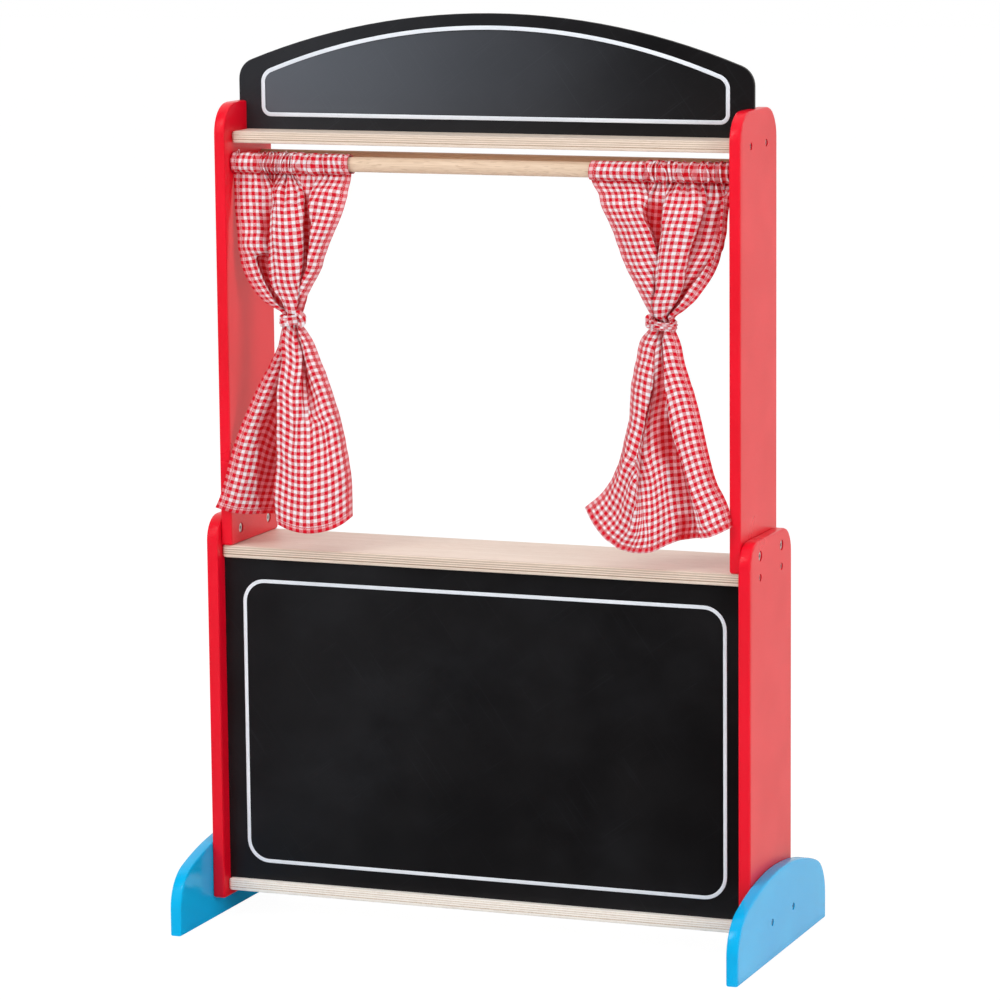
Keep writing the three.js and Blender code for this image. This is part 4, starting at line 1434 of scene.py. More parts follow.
@dataclass
class Curtain:
    """One curtain: its casing round the rod, its hanging cloth and its tie-back.

    Args:
        side: the side of the stand where it hangs.
        finish: its cloth.
        folds: how it is folded.
        length: how much of the rod its casing covers.
        waist_down: where its tie-back is, as a share of the drop.
        waist_across: the same across, as a share of the casing's length.
        waist_width: how wide the tied cloth is.
        cloth_width: how wide the cloth is when it lies flat.
        panel_face: how far the side panel's inner face is from the stand's middle.
        rod_place: where the rod's middle lies along Y.
        rod_height: the rod's height.
        seam_height: the height of the casing's seam.
        fold_top: the height that the shares of the drop are counted from.
        drop: the length that they are shares of.
        check: the width of one pair of checks.
        columns: how many points the cloth has across.
        rows: how many rows it has below the casing's seam, beside the seam's and the tie's own.
        casing_rows: how many rows go round the rod.
        seam_rows: how many rows lead from the seam into the folds.
        tie_rows: how many rows lie under the tie-back.
        seam_blur: over how many columns the seam's places are softened.
        seam_back: how far the seam lies behind the rod's middle.
        gather_wave: the flat length of a gather along the seam.
        gather_fade: how far below the seam the gathers begin to fade, and end.
        bunch_wave: the flat length of a bunch of cloth behind a fold.
        bunch_fade: how far below the seam the bunches' push to the back begins to fade, and ends.
        hidden: how tightly the cloth lies where it begins to hide behind a fold, and is hidden.
        tie_wave: the flat length of the small folds that run out from the tie-back.
        tie_reach: how far they run along the cloth.
        tie_height: how high they stand at the tie-back.
        fold_reach: how far to each side a fold in front shades the cloth.
        fold_slope: how much depth a fold in front loses for each metre that it lies to the side.
        fold_shade: how deep the cloth lies where its painted shade begins, and is full.
        crease_strength: how much of their height the creases have.
        waves: the height, the length and the number of each of the cloth's soft waves.
        still: how far below the seam the waves begin, and are full.
        still_at_tie: how near to the tie-back they fade.
        scallops: how high the seam's edge rises and falls at the gathers, and between them.
        scallop_reach: how far below the seam that reaches.
        dips: how high the gathers stand where the painted shade in the dips between them begins, and is full.
        packed: how tightly the cloth lies where its painted shade begins, and is full.
        packed_fade: how far below the seam that painted shade begins to fade, and ends.
        casing_swell: how high the gathers stand on the casing at most.
        folded: how high they stand where they begin to lean over, and lean over fully.
        lean: how far they lean over, against their spacing.
        pinch: how far from the seam the casing is drawn in, as a share of its way round.
        slack: how far the casing stands off its section.
        drift: how far the gathers wander along the rod.
        cloth: the cloth's thickness.
        hem: the hem's width.
        section: the casing's section round the rod, back and up from its middle, in millimetres.
    """

    side: Side
    finish: Material
    folds: Folds
    length: float
    waist_down: float
    waist_across: float
    waist_width: float
    cloth_width: float = 0.250
    panel_face: float = 0.316
    rod_place: float = -0.042
    rod_height: float = 0.9255
    seam_height: float = 0.9138
    fold_top: float = 0.908
    drop: float = 0.428
    check: float = 0.00833
    columns: int = 260
    rows: int = 200
    casing_rows: int = 40
    seam_rows: int = 16
    tie_rows: int = 7
    seam_blur: int = 25
    seam_back: float = -0.0006
    gather_wave: float = 0.0140
    gather_fade: tuple[float, float] = (0.003, 0.034)
    bunch_wave: float = 0.025
    bunch_fade: tuple[float, float] = (0.27, 0.33)
    hidden: tuple[float, float] = (1.5, 2.6)
    tie_wave: float = 0.0065
    tie_reach: float = 0.018
    tie_height: float = 0.0007
    fold_reach: float = 0.034
    fold_slope: float = 0.35
    fold_shade: tuple[float, float] = (0.0012, 0.0095)
    crease_strength: float = 1.35
    waves: tuple[tuple[float, float, int], ...] = ((0.0013, 0.055, 15), (0.0004, 0.018, 16))
    still: tuple[float, float] = (0.004, 0.03)
    still_at_tie: float = 0.01
    scallops: tuple[float, float] = (0.0010, 0.0009)
    scallop_reach: float = 0.004
    dips: tuple[float, float] = (0.0010, 0.0030)
    packed: tuple[float, float] = (2.4, 4.5)
    packed_fade: tuple[float, float] = (0.25, 0.33)
    casing_swell: float = 0.0024
    folded: tuple[float, float] = (0.0012, 0.0030)
    lean: float = 0.34
    pinch: float = 0.055
    slack: float = 0.0003
    drift: float = 0.0010
    cloth: float = 0.00045
    hem: float = 0.0072
    section: tuple[tuple[float, float], ...] = (
        (-0.6, -11.7), (-5.2, -10.6), (-9.3, -6.2), (-10.7, 0.0), (-9.0, 6.0), (-4.8, 9.4), (0.0, 10.4),
        (4.8, 9.4), (9.0, 6.0), (10.6, 0.0), (9.0, -6.4), (4.8, -10.6), (0.6, -11.7))

    @property
    def word(self) -> str:
        """The side's word."""
        return self.side.word

    @property
    def flat(self) -> Points:
        """The flat place across of each column."""
        return np.linspace(0, self.cloth_width, self.columns)

    @property
    def waist_height(self) -> float:
        """The height of the tie-back's middle."""
        return self.fold_top - self.drop * self.waist_down

    def across_place(self, share: Points | float) -> Points:
        """Where a share of the casing's length lies along X."""
        return self.side.value * (self.panel_face - np.asarray(share) * self.length)

    def control(self, rows: Sequence[FoldRow]) -> tuple[Points, Points, Points]:
        """The rows of fold places as points in space.

        Args:
            rows: the fold rows of one half of the curtain.

        Returns:
            The mean share down of each row, its points, and how far back each stretch is tucked.
        """
        levels = []
        places = []
        tucks = []
        for row in rows:
            count = len(row.across)
            down = np.broadcast_to(np.asarray(row.down, float), (count,))
            x = self.across_place(row.across)
            y = self.rod_place - np.asarray(row.forward) * MM
            z = self.fold_top - down * self.drop
            places.append(np.stack([x, y, z], axis=1))
            levels.append(down.mean())
            tuck = np.zeros((count - 1, 3))
            tuck[list(row.tucked), :2] = (1.0, row.depth * MM)
            tuck[:, 2] = row.fullness
            tucks.append(tuck)
        return np.array(levels), np.array(places), np.array(tucks)

    @staticmethod
    def drawn(control: Points, steps: int) -> tuple[Points, Points]:
        """Draw a smooth curve through the points of one row.

        Args:
            control: the row's points.
            steps: how many steps each stretch has.

        Returns:
            The curve and its length at each of its points.
        """
        gaps = np.linalg.norm(np.diff(control, axis=0), axis=1)
        knots = np.concatenate([[0.0], np.cumsum(np.sqrt(np.maximum(gaps, 1e-5)))])
        fine = np.concatenate([np.linspace(knots[i], knots[i + 1], steps, endpoint=False)
                               for i in range(len(knots) - 1)] + [knots[-1:]])
        curve = hermite(control, knots, fine)
        lengths = np.linalg.norm(np.diff(curve, axis=0), axis=1)
        return curve, np.concatenate([[0.0], np.cumsum(lengths)])

    def laid_row(self, control: Points, tuck: Points, pins: Sequence[tuple[int, float]]) -> Points:
        """Lay the cloth's columns along one row of folds.

        Args:
            control: the fold places of the row.
            tuck: how much each stretch is tucked, how far back, and how much cloth it may hold.
            pins: the fold columns that hold one share of the cloth's width, from edge to edge.

        Returns:
            The place of each column.
        """
        steps = 8
        curve, _ = self.drawn(control, 2)
        middles = curve[1::2].copy()
        middles[:, 1] += tuck[:, 1]
        full = np.empty((len(control) * 2 - 1, 3))
        full[0::2] = control
        full[1::2] = middles
        curve, lengths = self.drawn(full, steps)
        at_folds = lengths[::2 * steps]
        stretches = np.diff(at_folds)
        flat_folds = [0.0]
        for (first, low), (last, high) in zip(pins, pins[1:]):
            flat = self.shared_out(stretches[first:last], tuck[first:last], (high - low) * self.cloth_width)
            flat_folds.extend(flat_folds[-1] + np.cumsum(flat))
        flat_fine = np.interp(lengths, at_folds, flat_folds)
        return np.stack([np.interp(self.flat, flat_fine, curve[:, axis]) for axis in range(3)], axis=1)

    @staticmethod
    def shared_out(stretches: Points, tuck: Points, cloth: float) -> Points:
        """Share a width of cloth out over the stretches between two pins.

        Args:
            stretches: how long each stretch is.
            tuck: how much each stretch is tucked, how far back, and how much cloth it may hold.
            cloth: the flat width between the pins.

        Returns:
            The flat width of each stretch: its own length where it is seen, and the rest in the tucks.
        """
        tucked = tuck[:, 0]
        seen = (stretches * (1 - tucked)).sum()
        rest = max((stretches * tucked).sum(), 1e-6)
        even = min(1.0, cloth / (seen + 0.85 * rest))
        if even == 1.0:
            even = max(1.0, cloth / (seen + tuck[:, 2].mean() * rest))
        folded = (cloth - even * seen) / rest
        flat = stretches * (even * (1 - tucked) + folded * tucked)
        return flat * cloth / flat.sum()

    def half(self, rows: Sequence[FoldRow], pins: Sequence[Pin], levels: Points) -> Points:
        """Lay one half of the curtain as a grid of places.

        Args:
            rows: its fold rows.
            pins: its fold columns that keep to one place of the cloth.
            levels: the shares down that are asked for.

        Returns:
            The grid of places.
        """
        knots, places, tucks = self.control(rows)
        controls = hermite(places, knots, levels)
        flat_tucks = tucks.reshape(len(rows), -1)
        between = np.stack([np.interp(levels, knots, column) for column in flat_tucks.T], axis=1)
        between = between.reshape(len(levels), -1, 3)
        grid = []
        for number, level in enumerate(levels):
            share = (level - levels[0]) / (levels[-1] - levels[0])
            held = [(pin.column, pin.first + (pin.last - pin.first) * share) for pin in pins]
            grid.append(self.laid_row(controls[number], between[number], held))
        return np.array(grid)

    def hanging(self) -> tuple[Points, Points]:
        """Lay the whole hanging cloth below the casing's seam, without its small pleats.

        Returns:
            The grid of places, and the columns' places along the seam.
        """
        first = self.folds.upper[0].down
        waist_top = self.folds.upper[-1].down
        waist_end = self.folds.lower[0].down
        last = float(np.mean(self.folds.lower[-1].down))
        above = int(self.rows * waist_top)
        upper = self.half(self.folds.upper, self.folds.upper_pins, np.linspace(first, waist_top, above))
        lower = self.half(self.folds.lower, self.folds.lower_pins,
                          np.linspace(waist_end, last, self.rows - above))
        between = [upper[-1] + (lower[0] - upper[-1]) * step / (self.tie_rows + 1)
                   for step in range(1, self.tie_rows + 1)]
        knots = np.array(self.folds.seam_cloth) * self.cloth_width
        seam_share = softened(np.interp(self.flat, knots, self.folds.seam_rod), self.seam_blur)
        top_rows = []
        for step in range(self.seam_rows):
            share = step / self.seam_rows
            settled = float(smoothstep(share, 0.0, 1.0))
            x = self.across_place(seam_share) * (1 - settled) + upper[0][:, 0] * settled
            y = (self.rod_place + self.seam_back) * (1 - settled) + upper[0][:, 1] * settled
            z = self.seam_height * (1 - share) + upper[0][:, 2] * share
            top_rows.append(np.stack([x, y, z], axis=1))
        return np.concatenate([np.array(top_rows), upper, np.array(between), lower]), seam_share

    def tightness(self, grid: Points) -> Points:
        """Find how much flat cloth lies in each length of a grid's rows.

        Args:
            grid: the places.

        Returns:
            The lengths of cloth for each length of row, softened over the cloth.
        """
        step = self.cloth_width / (self.columns - 1)
        gaps = np.linalg.norm(np.gradient(grid, axis=1), axis=2)
        loose = np.clip(gaps / step, 0.02, 1.0)
        for _ in range(3):
            padded = np.pad(loose, ((2, 2), (3, 3)), mode="edge")
            loose = sum(padded[2 + i:padded.shape[0] - 2 + i, 3 + j:padded.shape[1] - 3 + j]
                        for i in (-2, 0, 2) for j in (-3, -1, 1, 3)) / 12
        return 1 / loose

    @staticmethod
    def pleat_height(tight: Points, wave: float) -> Points:
        """How high pleats of a flat wavelength stand when they take up the cloth."""
        return 0.25 * wave * np.sqrt(np.clip(1 - 1 / (tight * tight), 0, 1))

    def creased(self, length: Points) -> Points:
        """How far the soft ridges and valleys move each point forward.

        Args:
            length: the flat place down of each point.

        Returns:
            The heights, in metres.
        """
        total = np.zeros_like(length)
        across = np.broadcast_to(self.flat, length.shape)
        for crease in self.folds.creases:
            start = np.array([crease.start[0] * self.cloth_width, crease.start[1] * self.drop])
            end = np.array([crease.end[0] * self.cloth_width, crease.end[1] * self.drop])
            along = end - start
            share = ((across - start[0]) * along[0] + (length - start[1]) * along[1]) / (along @ along)
            near = np.clip(share, 0, 1)
            gap = np.hypot(across - start[0] - near * along[0], length - start[1] - near * along[1])
            swell = np.sin(np.pi * np.clip(share * 0.8 + 0.1, 0, 1)) ** 2
            height = self.crease_strength * crease.height * MM
            total += height * swell * np.exp(-((gap / (crease.width * MM)) ** 2))
        return total

    def cloth_grid(self) -> tuple[Points, Points, Points]:
        """The whole sheet, from the back of the casing over the rod to the hem.

        Returns:
            The places and the flat places, in metres, and how shaded each point is, from 0 to 1.
        """
        grid, seam_share = self.hanging()
        flat = self.flat
        steps = np.linalg.norm(np.diff(grid, axis=0), axis=2)
        length = np.concatenate([np.zeros((1, self.columns)), np.cumsum(steps, axis=0)])
        normal = self.normals(grid)
        tight = self.tightness(grid)
        phase = 2 * np.pi * flat / self.gather_wave + 1.8 * wander(flat, 0.040, 11)
        uneven = 1 + 0.35 * wander(flat, 0.02, 12)
        top = 1 - smoothstep(length, *self.gather_fade)
        pleats = top * self.pleat_height(tight, self.gather_wave) * uneven
        pleats = pleats * np.sin(phase + 0.35 * wander_over(flat, length, 0.03, 13))
        middle = float(np.mean(length[np.argmin(np.abs(grid[:, 0, 2] - self.waist_height))]))
        hidden = smoothstep(tight, *self.hidden)
        bunch = self.pleat_height(tight, self.bunch_wave) * (1 - top)
        wave = np.sin(2 * np.pi * flat / self.bunch_wave + 1.2 * wander(flat, 0.06, 14)
                      + 0.25 * wander_over(flat, length, 0.05, 17))
        waves = sum(height * wander_over(flat, length, wide, seed) for height, wide, seed in self.waves)
        near_tie = np.exp(-np.abs(length - middle) / self.still_at_tie)
        quiet = smoothstep(length, *self.still) * (1 - near_tie)
        forward = pleats + (0.5 * bunch * wave) * (1 - hidden) + (waves + self.creased(length)) * quiet
        fading = self.tie_height * np.exp(-np.abs(length - middle) / self.tie_reach)
        radiating = fading * np.sin(2 * np.pi * flat / self.tie_wave)
        grid = grid + normal * (forward + radiating)[..., None]
        grid[..., 1] += hidden * bunch * (1 + wave) * (1 - smoothstep(length, *self.bunch_fade))
        seam_pleat = self.pleat_height(tight[0], self.gather_wave) * uneven
        high, uneven_high = self.scallops
        scallop = high * np.sin(phase * 1.5 + 1.0) + uneven_high * wander(flat, 0.011, 19)
        grid[..., 2] += np.exp(-length / self.scallop_reach) * scallop
        casing, around, valleys = self.casing(seam_share, seam_pleat, phase, grid[0])
        total = float(np.median(length[-1]))
        settled = length * (total / length[-1]) ** smoothstep(length, middle, total)
        down = np.concatenate([np.broadcast_to(around[:, None], (len(around), self.columns)), settled])
        # Painted shade in the dips between the seam's pleats, and where the cloth is packed tight.
        dips = top * smoothstep(seam_pleat, *self.dips) * (0.5 - 0.5 * np.sin(phase)) ** 2
        places = np.concatenate([casing, grid])
        packed = smoothstep(tight, *self.packed) * (1 - smoothstep(length, *self.packed_fade))
        dips = np.maximum(dips, packed)
        # Painted shade: deep among the folds, between the casing's pleats, and in the dips and packed cloth.
        shade = np.maximum(self.depth_in_folds(places), 0.9 * np.concatenate([valleys, dips]))
        return places, np.stack([np.broadcast_to(flat, down.shape), down], axis=-1), shade

    def depth_in_folds(self, grid: Points) -> Points:
        """Find the places that the folds beside them hide from the light, for the painted shade in the cloth.

        Args:
            grid: the places, the casing's rows first.

        Returns:
            How deep each point lies behind the folds beside it, from 0 to 1.
        """
        forward = self.rod_place - grid[..., 1]
        deep = np.zeros_like(forward)
        for number, (across, front) in enumerate(zip(grid[..., 0], forward)):
            apart = across[:, None] - across[None, :]
            over = np.maximum(front[None, :] - front[:, None] - self.fold_slope * np.abs(apart), 0.0)
            over[np.abs(apart) > self.fold_reach] = 0.0
            one, other = (np.sort(np.where(apart * side > 0, over, 0.0), axis=1)[:, -5:].mean(axis=1)
                          for side in (1, -1))
            deep[number] = 0.5 * (one + other) + 0.6 * np.minimum(one, other)
        deep[:self.casing_rows] = 0.0
        return smoothstep(deep, *self.fold_shade)

    def normals(self, grid: Points) -> Points:
        """The direction that each point of a grid faces, towards the front where it can."""
        across = np.gradient(grid, axis=1)
        along = np.gradient(grid, axis=0)
        normal = np.cross(across, along) * self.side.value
        return normal / np.maximum(np.linalg.norm(normal, axis=2), 1e-9)[..., None]

    def casing(self, seam_share: Points, height: Points, phase: Points,
               seam: Points) -> tuple[Points, Points, Points]:
        """The sleeve round the rod, from its seam at the back over the top to its seam in front.

        Args:
            seam_share: the columns' places along the seam.
            height: the pleats' height at each column.
            phase: the pleats' phase at each column.
            seam: the hanging cloth's first row.

        Returns:
            The places, each row's flat place along the cloth, counted back from the seam, and how deep
            each point lies between two pleats, from 0 to 1, for the painted shade between them.
        """
        section = np.array(self.section) * MM
        gaps = np.linalg.norm(np.diff(section, axis=0), axis=1)
        knots = np.concatenate([[0.0], np.cumsum(gaps)])
        at = np.linspace(0, knots[-1], self.casing_rows)
        ring = hermite(section, knots, at)
        tangent = np.gradient(ring, axis=0)
        outward = unit(np.stack([-tangent[:, 1], tangent[:, 0]], axis=1))
        flat = self.flat
        spacing = self.gather_wave * np.gradient(seam_share) * self.length / (flat[1] - flat[0])
        low = np.minimum(height, self.casing_swell)
        folded = smoothstep(height, *self.folded)
        rows = []
        valleys = []
        for number in range(self.casing_rows):
            share = number / (self.casing_rows - 1)
            pinch = float(np.exp(-((min(share, 1 - share) / self.pinch) ** 2)))
            place = np.full_like(flat, at[number])
            turn = phase + (1.5 * wander_over(flat, place, 0.030, 21) + 0.9 * np.sin(9 * share)) * (1 - pinch)
            ripple = 0.5 + 0.5 * np.sin(turn)
            swell = (self.slack + low * ripple) * (1 - pinch)
            lean = self.lean * spacing * np.cos(turn) * folded * (1 - 0.5 * pinch)
            drift = self.drift * wander_over(flat, place, 0.03, 22) * (1 - pinch)
            x = self.across_place(seam_share) - self.side.value * (lean + drift)
            y = self.rod_place + ring[number, 0] + outward[number, 0] * swell
            z = self.rod_height + ring[number, 1] + outward[number, 1] * swell
            row = np.stack([x, y, z], axis=1)
            rows.append(row * (1 - pinch ** 3) + seam * pinch ** 3)
            # How deep the point lies between two pleats, for the painted shade there.
            valleys.append((1 - ripple) ** 2 * folded)
        return np.array(rows[:0:-1]), at[:-1] - knots[-1], np.array(valleys[:0:-1])

    def build(self) -> list[Piece]:
        """Make the curtain and its tie-back.

        Returns:
            The new pieces.
        """
        sheet, flat, shade = self.cloth_grid()
        rows, columns = sheet.shape[:2]
        faces = grid_faces(rows, columns)
        if self.side is Side.LEFT:
            faces = [face[::-1] for face in faces]
        piece = object_from(f"{self.word}_curtain", sheet.reshape(-1, 3), faces, self.finish)
        lay_map(piece, WEAVE_MAP, flat.reshape(-1, 2) / self.check)
        sides = np.minimum(flat[..., 0], self.cloth_width - flat[..., 0])
        ends = flat[-1, :, 1].mean() - flat[..., 1]
        lay_map(piece, HEM_MAP, np.stack([sides, ends], axis=-1).reshape(-1, 2) / self.hem)
        # The fold map carries the painted shade, and the place down in checks for the seam's groove.
        lay_map(piece, PAINTED_SHADE_AND_SEAM_MAP, np.stack([shade, flat[..., 1] / self.check], axis=-1).reshape(-1, 2))
        thick = piece.modifiers.new("cloth_thickness", "SOLIDIFY")
        thick.thickness = self.cloth
        thick.offset = 0.0
        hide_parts(f"{self.word}_curtain_casing", f"{self.word}_curtain_drop")
        f"{self.word}_curtain_heading"
        f"{self.word}_curtain_cloth"
        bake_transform(piece)
        bands = TieBack(self).build()
        flat_length = float(flat[-1, :, 1].mean() - flat[0, :, 1].mean())
        LOG.info("%s curtain: flat %.3f by %.3f m", self.word, self.cloth_width, flat_length)
        return [piece, *bands]


def softened(values: Points, width: int) -> Points:
    """Smooth a rising row of values without moving its ends.

    Args:
        values: the values.
        width: over how many of them each one is softened, an odd number.

    Returns:
        The smoothed values.
    """
    kernel = np.hanning(width + 2)[1:-1]
    kernel /= kernel.sum()
    half = width // 2
    padded = np.concatenate([2 * values[0] - values[half:0:-1], values,
                             2 * values[-1] - values[-2:-half - 2:-1]])
    return np.convolve(padded, kernel, mode="valid")


def lay_map(piece: Piece, name: str, places: Points) -> None:
    """Give a piece a map of one flat place for each of its points.

    Args:
        piece: the cloth.
        name: the map's name.
        places: the flat place of each point.
    """
    layer = piece.data.uv_layers.new(name=name)
    corners = np.zeros(len(piece.data.loops), int)
    piece.data.loops.foreach_get("vertex_index", corners)
    layer.data.foreach_set("uv", places[corners].astype(np.float32).ravel())


def lay_tie_maps(piece: Piece, checks: Points) -> None:
    """Give a tie-back's piece its weave, and maps that keep it clear of hems, seams and painted shade.

    Args:
        piece: the band or the knot.
        checks: the flat place of each point, in checks.
    """
    lay_map(piece, WEAVE_MAP, checks)
    lay_map(piece, HEM_MAP, np.full((len(checks), 2), FAR_OFF))
    lay_map(piece, PAINTED_SHADE_AND_SEAM_MAP, np.full((len(checks), 2), (0.0, FAR_OFF)))


def spine_of(route: Points, count: int) -> tuple[Points, Points, Points]:
    """A smooth line through a few points.

    Args:
        route: the points.
        count: how many places the line has.

    Returns:
        How far along the route each place is, counted in its points, the places and their directions.
    """
    at = np.linspace(0, len(route) - 1, count)
    spine = hermite(route, np.arange(len(route), dtype=float), at)
    return at, spine, unit(np.gradient(spine, axis=0))


@dataclass(frozen=True)
class TieShape:
    """The form of one tie-back.

    Args:
        half_height: half of the band's height, in metres.
        tilt: how far the band's +X end stands above its middle, in metres.
        droop: how far its front hangs, in metres.
        crumple: how high its second folds stand, in metres.
        weave: how the weave lies: how much of the way along and across the band counts for each thread.
        towards: 1 where the knot curls towards +X, or -1.
        route: the knot's middle line across and up from the band's end, in millimetres.
        thick: the knot's radius at those points, in millimetres.
    """

    half_height: float
    tilt: float
    droop: float
    crumple: float
    weave: tuple[tuple[float, float], tuple[float, float]]
    towards: float
    route: tuple[tuple[float, float], ...]
    thick: tuple[float, ...]


TIE_SHAPES = {
    Side.LEFT: TieShape(
        half_height=0.0066, tilt=0.0012, droop=0.0004, crumple=0.0, weave=((1.0, 0.16), (-0.16, 1.0)),
        towards=1.0,
        route=((-1.0, 6.5), (3.6, 7.6), (7.8, 4.6), (8.8, -0.6), (6.6, -5.4), (1.6, -6.6)),
        thick=(3.0, 3.9, 4.2, 4.0, 3.4, 2.6)),
    Side.RIGHT: TieShape(
        half_height=0.0052, tilt=-0.0022, droop=0.0026, crumple=0.0006, weave=((0.5, 3.1), (1.0, -1.0)),
        towards=-1.0,
        route=((-1.0, 5.6), (2.4, 6.8), (4.6, 4.0), (5.0, -0.4), (3.8, -4.2), (0.6, -5.6)),
        thick=(2.4, 2.9, 2.9, 2.7, 2.4, 2.0)),
}


@dataclass
class TieBack:
    """The soft band round a curtain's waist, with its knot.

    Args:
        curtain: the curtain that it ties.
        deep: how far the band's front lies from the waist's middle.
        forward: how far the waist's middle lies in front of the rod's.
        turns: how many steps the band has along its way round.
        around: how many points the section of the band and of the knot has.
        knot_rows: how many rows the knot has.
        knot_start: where the knot's route starts from the band's end, outwards, back and up.
        slack: how far the band's inner face stands off the tied cloth.
        padding: how thick the band is at its edges.
        roundness: how much thicker it is in its middle.
        flare: how much its height varies on its way round, as a share.
        wrinkle: how high its folds stand.
        folds: how many of them lie across it.
        sway: how far they wander on its way round, in radians.
        crumples: how many second folds lie across it.
        crumple_turn: how fast those run aside on its way round.
        way_round: its way round, against a circle that is as wide.
        pull: how far the folds draw the weave aside, against their height.
        knot_depth: how deep the knot is, as a share of its height.
        knot_ends: over how many rows the knot closes at each end, and the square of its size at the tip.
        knot_creases: the depth, the number and the turn along the route of each row of creases.
        knot_run: how much cloth each stretch of the knot's route holds.
        knot_weave: the cloth's way round the knot against a circle, its slant, and its drift along it.
    """

    curtain: Curtain
    deep: float = 0.0125
    forward: float = 0.0085
    turns: int = 96
    around: int = 28
    knot_rows: int = 44
    knot_start: Triple = (-0.001, -0.006, 0.0005)
    slack: float = 0.0010
    padding: float = 0.0012
    roundness: float = 0.0016
    flare: float = 0.10
    wrinkle: float = 0.0007
    folds: float = 3.4
    sway: float = 1.1
    crumples: float = 6.0
    crumple_turn: float = 2.2
    way_round: float = 0.92
    pull: float = 0.6
    knot_depth: float = 0.85
    knot_ends: tuple[int, float] = (5, 0.15)
    knot_creases: tuple[tuple[float, int, float], ...] = ((0.13, 3, 2.4), (0.06, 5, -1.0))
    knot_run: float = 0.0046
    knot_weave: Triple = (0.9, 0.3, 0.0012)

    @property
    def shape(self) -> TieShape:
        """The form of the tie-back on the curtain's side."""
        return TIE_SHAPES[self.curtain.side]

    @property
    def middle(self) -> Points:
        """The middle of the tied waist."""
        curtain = self.curtain
        across = curtain.across_place(curtain.waist_across)
        return np.array([across, curtain.rod_place - self.forward, curtain.waist_height])

    def build(self) -> list[Piece]:
        """Make the band and the knot.

        Returns:
            The new pieces.
        """
        pieces = [self.band(), self.knot()]
        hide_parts(f"{self.curtain.word}_tie_back")
        for piece in pieces:
            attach(piece, f"{self.curtain.word}_curtain_cloth")
        return pieces

    def band(self) -> Piece:
        """Wrap the band round the waist in soft folds.

        Returns:
            The new piece.
        """
        curtain = self.curtain
        shape = self.shape
        middle = self.middle
        wide = curtain.waist_width / 2 + self.slack
        points = []
        weave = []
        for turn in range(self.turns):
            angle = 2 * math.pi * turn / self.turns
            front = 0.5 - 0.5 * math.sin(angle)
            rise = shape.tilt * math.cos(angle) - shape.droop * front
            reach = shape.half_height * (1 + self.flare * math.sin(2 * angle + 0.6))
            for part in range(self.around):
                spin = 2 * math.pi * part / self.around
                across = math.cos(spin)
                fold = math.sin(self.folds * math.pi * across + self.sway * math.sin(angle + 0.4))
                second = math.sin(self.crumples * math.pi * across + self.crumple_turn * angle)
                outer = max(math.sin(spin), 0.0)
                out = self.roundness * math.sin(spin) + self.wrinkle * fold * outer + self.padding
                out += shape.crumple * second * outer
                points.append((middle[0] + (wide + out) * math.cos(angle),
                               middle[1] + (self.deep + out) * math.sin(angle),
                               middle[2] + rise + reach * across))
                path = angle * wide * self.way_round
                side = reach * across + self.pull * out * fold
                weave.append([(along * path + over * side) / curtain.check for along, over in shape.weave])
        faces = grid_faces(self.turns, self.around, closed=True, looped=True)
        piece = object_from(f"{curtain.word}_tie_back_band", np.array(points), faces, curtain.finish)
        lay_tie_maps(piece, np.array(weave))
        return piece

    def knot(self) -> Piece:
        """Roll the knot, a short thick piece of cloth that curls out of the band and back in.

        Returns:
            The new piece.
        """
        curtain = self.curtain
        shape = self.shape
        route = np.array([(x * shape.towards, 0.0, z) for x, z in shape.route]) * MM
        at, spine, tangent = spine_of(route, self.knot_rows)
        size = hermite(np.array(shape.thick), np.arange(len(route), dtype=float), at) * MM
        out, back, up = self.knot_start
        start = self.middle + np.array([shape.towards * (curtain.waist_width / 2 + out), back, up])
        closing, tip = self.knot_ends
        way_round, slant, drift = self.knot_weave
        points = []
        weave = []
        for number, place in enumerate(spine):
            side = np.cross(tangent[number], (0.0, 1.0, 0.0))
            end = min(number, len(spine) - 1 - number) / closing
            close = math.sqrt(min(1.0, tip + end))
            for part in range(self.around):
                spin = 2 * math.pi * part / self.around
                crease = 1.0
                for deep, count, turn in self.knot_creases:
                    crease += deep * math.sin(count * spin + turn * at[number])
                reach = size[number] * close * crease
                forward = np.array([0.0, reach * self.knot_depth * math.sin(spin), 0.0])
                offset = side * (reach * math.cos(spin)) + forward
                points.append(start + place + offset)
                turned = spin * size[number] * way_round
                weave.append(((at[number] * self.knot_run + slant * turned) / curtain.check,
                              (turned - drift * at[number]) / curtain.check))
        last = len(points) - 1
        faces = grid_faces(len(spine), self.around, closed=True)
        faces.append(tuple(range(self.around)))
        faces.append(tuple(range(last, last - self.around, -1)))
        piece = object_from(f"{curtain.word}_tie_back_knot", np.array(points), faces, curtain.finish)
        lay_tie_maps(piece, np.array(weave))
        return piece


